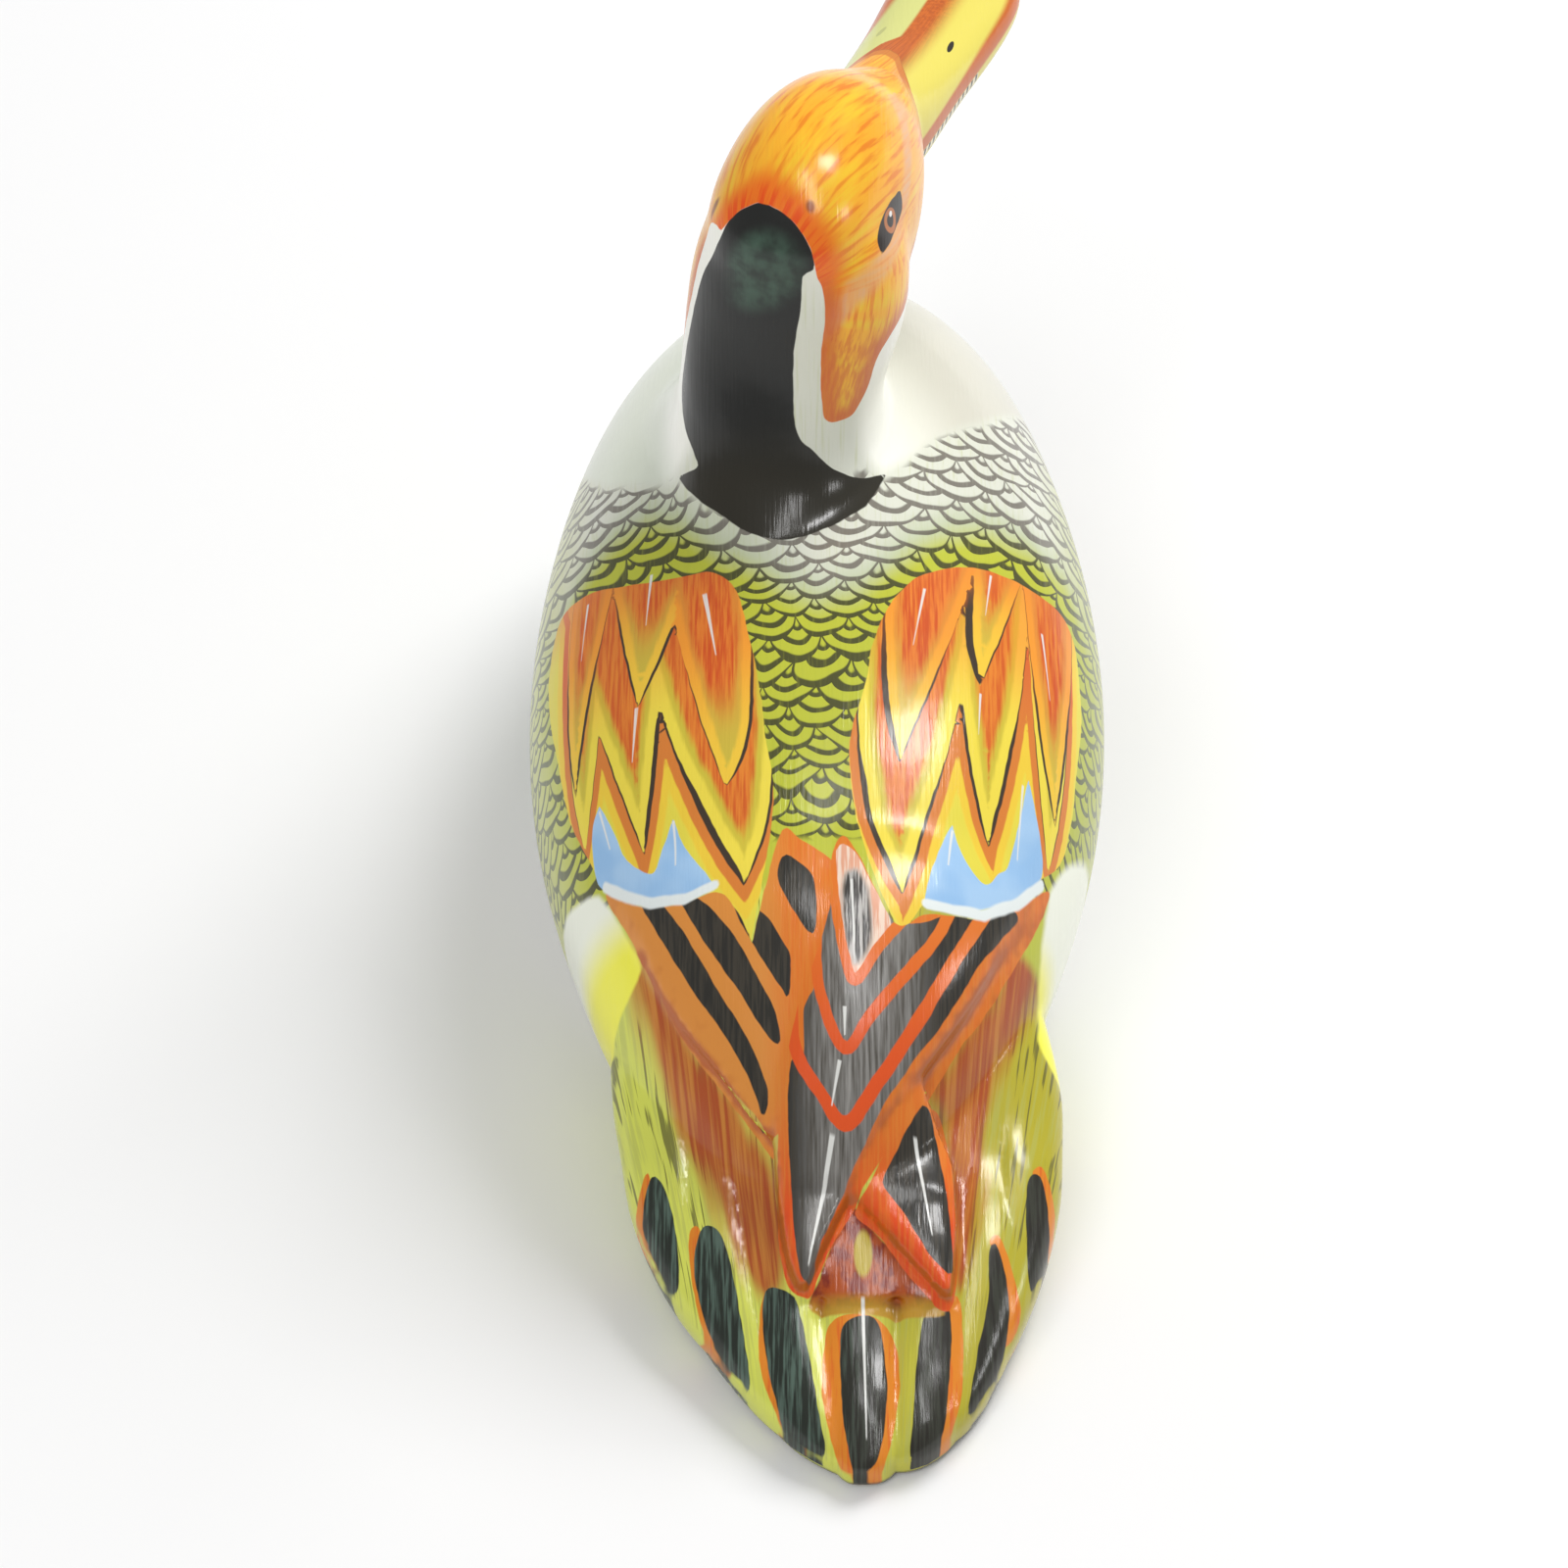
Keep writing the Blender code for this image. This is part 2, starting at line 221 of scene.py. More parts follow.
def upper_side(x, station):
    """The height of the body's upper side over a point, where trunk and tail flow together."""
    widest = column(trunk_rows, station, 2)
    full = column(trunk_rows, station, 5)
    share = (x + column(trunk_rows, station, 6)) / column(trunk_rows, station, 1)
    over_trunk = widest + (column(trunk_rows, station, 3) - widest) * arch(share, full)
    over_trunk = np.where(station < trunk_rows[0, 0], 0, over_trunk)
    edge = column(tail_rows, station, 2)
    share = (x + column(tail_rows, station, 4)) / column(tail_rows, station, 1)
    over_tail = edge + (column(tail_rows, station, 3) - edge) * arch(share, TAIL_FULLNESS)
    apart = over_trunk - over_tail
    return (over_trunk + over_tail + np.sqrt(apart**2 + CREASE_ROUNDING**2)) / 2


def trunk(block, rows=90):
    """Adds the trunk to the block, as a loft with this many rings."""
    rings = []
    for station, width, widest, top, low, full, lean in spline_rows(TRUNK, rows):
        centre, above, below = (-lean, -station, widest), top - widest, widest - low
        rings.append(ring(centre, ACROSS, UP, width, above, below, full))
    loft(block, rings)


def tail(block, rows=80):
    """Adds the tail to the block, as a loft with this many rings."""
    rings = []
    for station, width, edge, middle, shift in spline_rows(TAIL, rows):
        centre, above, below = (-shift, -station, edge), middle - edge, edge + TAIL_DEPTH
        rings.append(ring(centre, ACROSS, UP, width, above, below, TAIL_FULLNESS))
    loft(block, rings)


block = bmesh.new()
trunk(block)
tail(block)
print("trunk and tail:", len(block.faces), "faces")

# %% [markdown]
# ## Crossed wing tips
#
# The folded wings end in two long points that cross over the rump, the right one on top. They
# stand a few millimetres proud with steep sides, which catch a line of shade in the photograph.
# A bump in the paint would give no such wall, so each tip is a solid strip that follows the
# body's upper side, with its lower face sunk into the body.

# %% Wing tips
# Station, outer edge, inner edge, height above the body
RIGHT_TIP = (
    (31, 2.5, 4, 5),
    (35, 0.5, 6, 7),
    (41, -2.5, 7.2, 7.5),
    (52, -8.5, 8.7, 7.2),
    (59, -14, 8.6, 6.8),
    (68, -21, 6.3, 6.2),
    (79, -29, 2.5, 5.2),
    (91, -36, -2, 3.5),
    (106, -43.5, -4.5, 0.5),
    (112, -46, -5, -2),
)
LEFT_TIP = (
    (30, -24.2, -25.6, 5),
    (37, -17, -26.6, 6),
    (43, -11.5, -27, 6),
    (48, -6, -27, 5.5),
    (52, 2, -26.8, 5),
    (58, 11.5, -25.5, 4.5),
    (66, 18.5, -21, 4),
    (76, 26.5, -15, 3.6),
    (86, 32.7, -8, 3),
    (94, 36.5, -3, 2.2),
    (106, 42, 0, 0),
    (112, 44.5, 2, -2),
)
STEP_UNDER_TIPS = (
    (30, 1, -22, 1.6),
    (44, 4, -24, 2.2),
    (62, 6, -20, 2.5),
)
TIP_WALL_DEPTH = 9.0
TIP_ROUNDING = 0.35


def wing_tip(block, table, rows=90, columns=33):
    """Adds a strip to the block that stands proud of the upper side between two edges."""
    across = np.linspace(0, 1, columns)
    rounding = 1 - TIP_ROUNDING * np.abs(2 * across - 1) ** 6
    rings = []
    for station, outer, inner, height in spline_rows(table, rows):
        x = outer + (inner - outer) * across
        top = upper_side(x, np.full_like(x, station)) + height * rounding
        y = np.full_like(x, -station)
        upper = np.stack([x, y, top], 1)
        lower = np.stack([x, y, top - height - TIP_WALL_DEPTH], 1)
        rings.append(np.concatenate([upper, lower[::-1]]))
    loft(block, rings)


for table in (STEP_UNDER_TIPS, LEFT_TIP, RIGHT_TIP):
    wing_tip(block, table)
print("with the wing tips:", len(block.faces), "faces")

# %% [markdown]
# ## Neck, head and bill
#
# The neck starts broad on the shoulders and twists as it rises, because the duck looks to its
# right. A straight neck with a turned head would show a step under the cheeks, so each ring of
# the neck turns a little more. The head and the bill are lofts along the direction that the duck
# looks in.

# %% Tables of the neck, head and bill
NECK_STATION = 209.0
NECK_SHIFT = 7.0
NECK_WIDTH = 43.0
NECK_DEPTH = 49.0
HEAD_TOP = 165.0
HEAD_WIDTH = 39.0
HEAD_SHIFT = 3.0
HEAD_TURN = math.radians(20.5)
BILL_REACH = 110.0
BILL_WIDTH = 28.0
# Height, shift to the duck's left, distance forward, half width, reach ahead, reach behind
NECK = in_percent(
    (
        (30, 100, 8, 186, 160, 250),
        (46, 100, 6, 149, 144, 228),
        (54.5, 112, 2, 110, 118, 172),
        (59, 110, 1, 102, 106, 127),
        (64.5, 98, 0, 100, 100, 104),
        (74, 64, 0, 106, 100, 83),
        (85, 50, 0, 95, 96, 73),
        (92, 43, 2, 65, 72, 50),
    ),
    *(HEAD_TOP, NECK_SHIFT, 100, NECK_WIDTH / 2, NECK_DEPTH / 2, NECK_DEPTH / 2),
)
# Distance forward of the neck, half width, widest height, top, bottom
HEAD = in_percent(
    (
        (-22, 15, 86, 88.5, 82.5),
        (-20, 49, 86, 92, 76.5),
        (-13, 82, 85.5, 96.5, 69),
        (0, 100, 83, 100, 63),
        (14, 100, 82, 100, 63.5),
        (27, 87, 82.5, 97, 70),
        (36, 69, 83.5, 93.5, 74.5),
        (43, 51, 84, 91, 77.5),
        (47, 31, 85, 89.5, 80.5),
    ),
    *(100, HEAD_WIDTH / 2, HEAD_TOP, HEAD_TOP, HEAD_TOP),
)
# The same columns, with the first a share of the bill's reach
BILL = in_percent(
    (
        (24, 72, 82, 92, 73.5),
        (33, 78, 82, 91, 74),
        (43, 84, 81, 88.5, 74.5),
        (57, 89, 80.5, 86, 75),
        (71, 96, 79.5, 84.5, 75.5),
        (88, 100, 79.5, 83.5, 76),
        (97, 78, 79.5, 82, 77),
        (100, 21, 79.5, 80.5, 78),
    ),
    *(BILL_REACH, BILL_WIDTH / 2, HEAD_TOP, HEAD_TOP, HEAD_TOP),
)
print("the head turns", round(math.degrees(HEAD_TURN), 1), "degrees to the duck's right")

# %% Neck, head and bill
TURN_STARTS, TURN_ENDS = 85.0, 130.0
NECK_FULLNESS, HEAD_FULLNESS, BILL_FULLNESS = 2.1, 2.15, 2.6
HEAD_RING_POINTS = 72
NECK_AXIS = NECK_STATION + 4
looking = np.array((-math.sin(HEAD_TURN), -math.cos(HEAD_TURN), 0))
beside = np.array((looking[1], -looking[0], 0))
head_middle = np.array((HEAD_SHIFT, -NECK_AXIS, 0))


def neck(block, rows=70):
    """Adds the neck to the block, with rings that turn as they rise."""
    rings = []
    for height, x, forward, width, ahead, behind in spline_rows(NECK, rows):
        turn = HEAD_TURN * clamp((height - TURN_STARTS) / (TURN_ENDS - TURN_STARTS))
        facing = np.array((-math.sin(turn), -math.cos(turn), 0))
        sideways = (facing[1], -facing[0], 0)
        outline = (sideways, facing, width, ahead, behind, NECK_FULLNESS, HEAD_RING_POINTS)
        rings.append(ring((x, -NECK_STATION - forward, height), *outline))
    loft(block, rings)


def along_head(block, table, fullness, rows=60):
    """Adds a form to the block that lies along the direction of the head."""
    rings = []
    for forward, width, widest, top, low in spline_rows(table, rows):
        centre = head_middle + looking * forward + (0, 0, widest)
        outline = (beside, UP, width, top - widest, widest - low, fullness, HEAD_RING_POINTS)
        rings.append(ring(centre, *outline))
    loft(block, rings)


neck(block)
along_head(block, HEAD, HEAD_FULLNESS)
along_head(block, BILL, BILL_FULLNESS)
print("with neck, head and bill:", len(block.faces), "faces")

# %% [markdown]
# ## One skin
#
# The forms overlap, as blocks glued up for carving would. A boolean union would join them too,
# but it leaves sharp creases and slivers along every seam. A voxel remesh cuts one closed, even
# skin round all of them, with faces as small as a knife's last shavings.

# %% Tools for the skin
SHAVING = 0.85


def points_of(mesh):
    """The places of all vertices, one in each row."""
    points = np.empty(len(mesh.vertices) * 3, np.float32)
    mesh.vertices.foreach_get("co", points)
    return points.reshape(-1, 3).astype(float)


def normals_of(mesh):
    """The directions that the skin faces in, one in each row."""
    normals = np.empty(len(mesh.vertices) * 3, np.float32)
    mesh.vertices.foreach_get("normal", normals)
    return normals.reshape(-1, 3).astype(float)


def set_points(made, points):
    """Moves all vertices to the given places."""
    made.data.vertices.foreach_set("co", points.astype(np.float32).ravel())
    made.data.update()


def apply_modifiers(made):
    """Turns the object's modifiers into plain mesh."""
    graph = bpy.context.evaluated_depsgraph_get()
    mesh = bpy.data.meshes.new_from_object(made.evaluated_get(graph))
    made.modifiers.clear()
    made.data = mesh


skin = bpy.data.meshes.new("painted_duck")
block.to_mesh(skin)
block.free()
duck = bpy.data.objects.new("painted_duck", skin)
bpy.context.scene.collection.objects.link(duck)
fuse = duck.modifiers.new("fuse", "REMESH")
fuse.mode = "VOXEL"
fuse.voxel_size = SHAVING
apply_modifiers(duck)
print("fused skin:", len(duck.data.vertices), "vertices")

# %% [markdown]
# ## Sanding
#
# Sandpaper rounds what stands proud. The Smooth modifier does the same, and a vertex group tells
# it where to work, which is quicker and more even than sculpting by hand. It takes off a lot at
# the neck, where head and body flow into each other, and across the step behind the wings. It
# levels the tops of the wing tips but leaves their edges crisp, and touches the rest only lightly.

# %% Sandpaper
WEIGHT_STEPS = 20
SMOOTHING = 0.5


def weigh(made, name, weight):
    """A vertex group with the given weight on each vertex, so a modifier works only there."""
    group = made.vertex_groups.new(name=name)
    levels = np.round(weight * WEIGHT_STEPS).astype(int)
    for level in range(1, WEIGHT_STEPS + 1):
        group.add(np.flatnonzero(levels == level).tolist(), level / WEIGHT_STEPS, "REPLACE")
    return group.name


def sand(made, rounds, group=""):
    """Smooths the skin this many times, in one group of its vertices or all over."""
    tool = made.modifiers.new("sand", "SMOOTH")
    tool.factor = SMOOTHING
    tool.iterations = rounds
    tool.vertex_group = group
    apply_modifiers(made)


print("each round moves a vertex", SMOOTHING, "of the way to the middle of its neighbours")

# %% Sand the joints
# Height between the neck's foot and its top, then where each of them ends above or below
NECK_MIDDLE, FOOT_ENDS, TOP_ENDS = 118, 70, 150
FOOT_REACH, TOP_REACH = 54, 32
WING_STEP, STEP_FOOT = 107, 44
TIPS_START, TIPS_END, TIPS_MIDDLE, TIPS_HALF_WIDTH = 24, 86, -2, 44
NEARLY_LEVEL = 0.75
NECK_ROUNDS, STEP_ROUNDS, TIP_ROUNDS, LAST_ROUNDS = 110, 90, 25, 4

points = points_of(duck.data)
x, station, height = points[:, 0], -points[:, 1], points[:, 2]
from_neck = np.hypot(x - NECK_SHIFT, NECK_AXIS - station)
neck_foot = clamp((height - FOOT_ENDS) / 8) * clamp((FOOT_REACH - from_neck) / 10)
neck_top = clamp((TOP_ENDS - height) / 15) * clamp((TOP_REACH - from_neck) / 6)
on_joint = np.where(height < NECK_MIDDLE, neck_foot, neck_top)
sand(duck, NECK_ROUNDS, weigh(duck, "neck_joint", on_joint))
across_step = clamp(2.2 - np.abs(station - WING_STEP) / 9)
on_step = across_step * clamp((height - STEP_FOOT) / 8)
sand(duck, STEP_ROUNDS, weigh(duck, "wing_step", on_step))
level = clamp((normals_of(duck.data)[:, 2] - NEARLY_LEVEL) / 0.1)
on_tips = clamp((station - TIPS_START) / 6) * clamp((TIPS_END - station) / 6)
on_tips = on_tips * clamp((TIPS_HALF_WIDTH - np.abs(x - TIPS_MIDDLE)) / 8)
sand(duck, TIP_ROUNDS, weigh(duck, "tip_tops", level * on_tips))
sand(duck, LAST_ROUNDS)
print("sanded over the neck, the wing step and the wing tips")

# %% [markdown]
# ## Tail feathers
#
# The fan ends in seven feathers. Each is carved as a low, round rib, and the wood between them
# is hollowed a little, so the tail's rim comes out scalloped. A bump map would leave the rim
# straight, so the vertices themselves move, as the gouge moves the real surface.

# %% Carve the tail
# End and root of each feather's middle, as x and station
FEATHERS = (
    (28, 37, 38, 80),
    (13.5, 17, 28.5, 68),
    (1.5, 2, 13, 62),
    (-8.5, 0, -6.5, 55),
    (-21.5, 2, -24, 60),
    (-31, 11, -39, 70),
    (-41, 37, -46, 80),
)
FEATHER_HALF_WIDTH = 6.9
FEATHER_HEIGHT = 2.4
HOLLOWED = 0.6
CARVED_TO = 80


def carve(made, rise):
    """Moves each vertex along its normal by the given height."""
    set_points(made, points_of(made.data) + normals_of(made.data) * rise[:, None])


points = points_of(duck.data)
x, station, height = points[:, 0], -points[:, 1], points[:, 2]
crest = np.zeros(len(points))
for end_x, end_station, root_x, root_station in FEATHERS:
    along = np.array((root_x - end_x, root_station - end_station))
    length = np.linalg.norm(along)
    along = along / length
    from_end = np.stack([x - end_x, station - end_station], 1)
    share = from_end @ along / length
    aside = from_end @ np.array((-along[1], along[0])) / FEATHER_HALF_WIDTH
    crest = np.maximum(crest, np.sqrt(clamp(1 - aside**2)) * smooth_step((0.95 - share) / 0.45))
in_fan = smooth_step((CARVED_TO - station) / 25)
on_wing = smooth_step((height - upper_side(x, station) - 0.5) / 1.5)
carve(duck, FEATHER_HEIGHT * (crest - HOLLOWED) * in_fan * (1 - on_wing))
print("tail feathers:", len(FEATHERS))

# %% [markdown]
# ## Flat underside
#
# The edge round the foot is eased a little with sandpaper, and the block is sawn flat below, so
# the duck stands by its own weight. A boolean with a box would saw it too, but the bisect tool
# cuts on one plane and leaves the skin above it as it was.

# %% Saw off the underside
EASED_IN, EASED_UP = 1.2, 1.8
WELD = 0.05
eased = points_of(duck.data)
ease = EASED_IN * clamp((EASED_UP - eased[:, 2]) / EASED_UP) ** 2
eased[:, :2] -= normals_of(duck.data)[:, :2] * ease[:, None]
set_points(duck, eased)
block = bmesh.new()
block.from_mesh(duck.data)
everything = block.verts[:] + block.edges[:] + block.faces[:]
bmesh.ops.bisect_plane(block, geom=everything, plane_co=(0, 0, 0), plane_no=(0, 0, 1), clear_inner=True)
bmesh.ops.holes_fill(block, edges=[edge for edge in block.edges if edge.is_boundary])
bmesh.ops.remove_doubles(block, verts=block.verts, dist=WELD)
bmesh.ops.triangulate(block, faces=block.faces[:])
block.to_mesh(duck.data)
block.free()
print("sawn flat:", len(duck.data.polygons), "triangles")

# %% [markdown]
# ## Plain skin
#
# The belly and the breast are plain white and need no fine mesh. Thinning all of the skin evenly
# would blur the paint's edges, which are kept on the vertices. So the Decimate modifier gets a
# vertex group that thins the plain skin and the sawn face, and mostly leaves the rest alone.

# %% Thin the plain skin
TRIANGLES = 190000
BELLY_TOP, BELLY_START = 38, 86
BREAST_TOP, BREAST_START = 70, 258
TAIL_RIM = 30
PLAIN_EDGE = 8
points = points_of(duck.data)
x, station, height = points[:, 0], -points[:, 1], points[:, 2]
under, breast = (
    clamp((top - height) / PLAIN_EDGE) * clamp((station - start) / PLAIN_EDGE)
    for top, start in ((BELLY_TOP, BELLY_START), (BREAST_TOP, BREAST_START))
)
sawn = (height < 0.01) & (station > TAIL_RIM)
plain = np.maximum.reduce([under, breast, sawn])
thin = duck.modifiers.new("thin", "DECIMATE")
thin.vertex_group = weigh(duck, "plain_skin", plain * 0.9 + 0.1)
thin.ratio = TRIANGLES / len(duck.data.polygons)
before = len(duck.data.polygons)
apply_modifiers(duck)
duck.vertex_groups.clear()
print("triangles:", before, "thinned to", len(duck.data.polygons))

# %% [markdown]
# ## Finding a place on the skin
#
# A painter sets out a pattern along the body: so far round from the spine, so far forward of the
# tail. An unwrapped skin would give such places too, but with seams and stretching. So every
# vertex gets the painter's own measures, in millimetres. Round the trunk they are the girth, the
# length of skin from the spine to the vertex, with the station. Round the neck they are an angle
# and a height, and on the head the distances forward, aside and up.

# %% Measures for the paint
GIRTH_STEPS = 33
HARDLY_ANY = 1e-6


def girth_at(x, station, height):
    """The length of skin from the spine to a point of the trunk, positive on the duck's left."""
    half_width, widest, top, low, full, lean = (column(trunk_rows, station, i) for i in range(1, 7))
    aside, rise = x + lean, height - widest
    reach = np.where(rise > 0, top - widest, widest - low)
    polar = np.arctan2(np.abs(aside) / half_width, np.maximum(np.abs(rise) / reach, HARDLY_ANY))
    turn = np.arctan(np.tan(polar) ** (full / 2))
    turn = np.where(rise > 0, turn, math.pi - turn)
    total = np.zeros(len(x))
    last_x, last_z = np.zeros(len(x)), top - widest
    for share in np.linspace(0, 1, GIRTH_STEPS)[1:]:
        angle = turn * share
        reach = np.where(angle < math.pi / 2, top - widest, widest - low)
        next_x = half_width * np.sin(angle) ** (2 / full)
        next_z = np.sign(np.cos(angle)) * np.abs(np.cos(angle)) ** (2 / full) * reach
        total += np.hypot(next_x - last_x, next_z - last_z)
        last_x, last_z = next_x, next_z
    return total * np.sign(aside)


points = points_of(duck.data)
x, station, height = points[:, 0], -points[:, 1], points[:, 2]
girth = girth_at(x, station, height)
around = np.degrees(np.arctan2(x - NECK_SHIFT, NECK_AXIS - station))
upward = (height + station) / math.sqrt(2)
from_head = points - head_middle
forward, aside = from_head @ looking, from_head @ beside
from_nape = (around - math.degrees(HEAD_TURN) + 180) % 360 - 180
proud = height - upper_side(x, station)
print("girth from", round(girth.min()), "to", round(girth.max()), "mm")

# %% [markdown]
# ## Outlines of the paint
#
# Each patch of paint has an outline of a few points with a smooth curve through them. A point
# that is given twice is a corner. Colouring the vertices inside it would give a jagged edge, one
# triangle wide. What the skin keeps is the distance to the outline, positive inside, which runs
# evenly across each triangle, so an edge comes out as crisp as a brush leaves it.

# %% Distance to an outline
REACH = 9.0


def curve(outline, steps=5):
    """A closed curve through the outline's points."""
    outline = np.array(outline, float)
    share = np.linspace(0, 1, steps, endpoint=False)[:, None]
    parts = []
    for i in range(len(outline)):
        before, start, end, after = (outline[(i + k) % len(outline)] for k in (-1, 0, 1, 2))
        if np.allclose(start, end):
            continue
        bend = (end - before) * share + (2 * before - 5 * start + 4 * end - after) * share**2
        parts.append(start + (bend + (3 * start - before - 3 * end + after) * share**3) / 2)
    return np.concatenate(parts)


def inside(u, v, outline):
    """How far inside the outline each place (u, v) is. Outside it is negative."""
    path = curve(outline)
    result = np.full(len(u), -REACH)
    low, high = path.min(axis=0) - REACH, path.max(axis=0) + REACH
    near = np.flatnonzero((u > low[0]) & (u < high[0]) & (v > low[1]) & (v < high[1]))
    u, v = u[near], v[near]
    away = np.full(len(near), REACH)
    within = np.zeros(len(near), bool)
    for (u0, v0), (u1, v1) in zip(path, np.roll(path, -1, axis=0)):
        du, dv = u1 - u0, v1 - v0
        share = clamp(((u - u0) * du + (v - v0) * dv) / (du * du + dv * dv))
        away = np.minimum(away, np.hypot(u - u0 - share * du, v - v0 - share * dv))
        if v0 != v1:
            within ^= ((v0 > v) != (v1 > v)) & (u < u0 + (v - v0) * du / dv)
    result[near] = np.where(within, away, -away)
    return result


print("distances are kept up to", REACH, "mm")


# %% Strokes, and what the skin keeps
def stroke(u, v, u0, v0, u1, v1, width, taper=1.0):
    """How far inside one stroke of the brush each place is. Its far end is thinner by the taper."""
    du, dv = u1 - u0, v1 - v0
    share = clamp(((u - u0) * du + (v - v0) * dv) / (du * du + dv * dv))
    away = np.hypot(u - u0 - share * du, v - v0 - share * dv)
    return np.maximum(width / 2 * (1 - taper * share) - away, -REACH)


def any_of(distances):
    """How far inside any of several outlines each place is."""
    return np.maximum.reduce(list(distances))


def keep(name, *values):
    """Stores up to three measures on the skin under one name."""
    values = [np.broadcast_to(value, len(points)) for value in values]
    values += [np.zeros(len(points))] * (3 - len(values))
    layer = duck.data.attributes.new(name, "FLOAT_VECTOR", "POINT")
    layer.data.foreach_set("vector", np.stack(values, 1).astype(np.float32).ravel())


keep("place", x, station, height)
keep("back", girth, station, proud)
keep("face", forward, aside, height)
print("kept on the skin:", [layer.name for layer in duck.data.attributes][-3:])

# %% [markdown]
# ## Wing coverts
#
# Two layers of long pointed feathers lie over each wing. The upper three are short, and the lower
# three reach back to the blue patch. They are flat paint, so there is no need to carve them. Each
# could have an outline of points, but a pointed feather needs only a tip, a root and the width of
# its two halves, which open quickly at the tip and then more slowly.

# %% Sizes of the covert feathers
# Tip and root as girth and station, half width and opening length to the duck's left and then to
# its right, thickness of the dark line on the same two sides
UPPER_COVERTS = (
    (18.7, 116.7, 21.8, 161.4, 13.7, 40, 7.2, 6.5, 0.5, 1.0),
    (38.2, 138.3, 35.5, 168.4, 23.9, 61.5, 11.8, 19.5, 0.8, 1.0),
    (55.7, 128.2, 52.1, 169.6, 4.8, 11.5, 17.0, 79.5, 0.8, 1.1),
    (-16.4, 121.2, -22.1, 161.5, 8.1, 13.0, 21.9, 79.5, 1.5, 0.7),
    (-33.9, 141.8, -37.0, 169.0, 5.1, 6.0, 13.2, 39.0, 2.0, 0.6),
    (-54.7, 122.0, -52.0, 169.5, 6.8, 12.0, 13.5, 51.5, 1.0, 1.0),
)
LOWER_COVERTS = (
    (14.0, 96.4, 21.8, 161.4, 19.9, 33.5, 10.7, 17.0, 1.5, 0.8),
    (36.8, 108.8, 42.4, 158.9, 24.4, 73.0, 13.5, 37.5, 0.6, 1.3),
    (53.7, 117.0, 51.8, 164.2, 6.0, 14.0, 6.0, 14.0, 0.4, 0.4),
    (-15.3, 94.3, -21.1, 161.2, 12.4, 18.5, 16.6, 44.5, 1.4, 0.9),
    (-35.9, 109.6, -36.3, 161.1, 7.8, 15.5, 13.2, 38.0, 1.0, 1.1),
    (-53.4, 113.0, -51.7, 164.2, 6.0, 14.0, 6.0, 14.0, 0.5, 0.5),
)
print("covert feathers:", len(UPPER_COVERTS) + len(LOWER_COVERTS))

# %% Covert feathers
PAST_TIP = 12.0
THINS_BY = 0.55


def feather_layer(feathers):
    """The distance inside a layer's feathers, inside their dark lines, and along them from the tip."""
    edge, line, along = np.full(len(x), -REACH), np.full(len(x), -REACH), np.zeros(len(x))
    for tip_u, tip_v, root_u, root_v, *halves in feathers:
        wide_left, open_left, wide_right, open_right, thick_left, thick_right = halves
        axis = np.array((root_u - tip_u, root_v - tip_v)) / math.hypot(root_u - tip_u, root_v - tip_v)
        up = (girth - tip_u) * axis[0] + (station - tip_v) * axis[1]
        off = (girth - tip_u) * axis[1] - (station - tip_v) * axis[0]
        wide = np.where(off > 0, wide_left, wide_right)
        opening = np.where(off > 0, open_left, open_right)
        still_closed = np.exp(-np.maximum(up, -PAST_TIP) / opening)
        slope = wide / opening * still_closed
        distance = (wide * (1 - still_closed) - np.abs(off)) / np.sqrt(1 + slope**2)
        distance = np.maximum(distance, -REACH)
        thick = np.where(off > 0, thick_left, thick_right) * smooth_step((up + 4) / 10)
        thick = thick * (1 - THINS_BY * smooth_step((up - 20) / 12))
        nearest = distance > edge
        edge = np.where(nearest, distance, edge)
        line = np.where(nearest, distance - thick, line)
        along = np.where(nearest, up, along)
    return edge, line, along


keep("upper_coverts", *feather_layer(UPPER_COVERTS))
keep("lower_coverts", *feather_layer(LOWER_COVERTS))
print("measures on the skin:", len(duck.data.attributes))

# %% [markdown]
# ## Wing, blue patch and white arc
#
# The whole wing is a yellow ground. At its end two blue peaks stand between the feather tips, and
# a white arc closes them off below. These shapes follow no rule, so they are outlines of points
# measured on the skin, and the arc is a chain of brush strokes.

# %% Wing outlines
# Girth and station round each wing
WINGS = (
    (
        (34.5, 166.5), (28, 165.5), (22, 165), (17, 159.5), (14.5, 149.5), (12, 137), (10.5, 124.5),
        (9, 116.5), (9.5, 107), (10.5, 97), (12.5, 84), (12.5, 84), (18.5, 93.5), (26, 99.5),
        (34, 101), (41, 105), (48, 108), (53, 115), (58.5, 125), (62, 138.5), (65, 149.5),
        (66, 159.5), (66, 159.5), (64, 168), (60.5, 173), (52, 172.5), (41.5, 168.5),
    ),
    (
        (-14, 154), (-18, 160.5), (-22, 164.5), (-31, 169), (-40, 170.5), (-49, 170.5),
        (-56.5, 170), (-61, 165.5), (-62.5, 157), (-63.5, 148.5), (-62, 137), (-61, 126.5),
        (-58.5, 117.5), (-52, 111), (-43, 105.5), (-33, 97.5), (-23, 97), (-14.5, 86.5),
        (-14.5, 86.5), (-11.5, 93.5), (-8.5, 104.5), (-6.5, 116.5), (-6.5, 126), (-9.5, 136.5),
        (-11, 145.5),
    ),
)
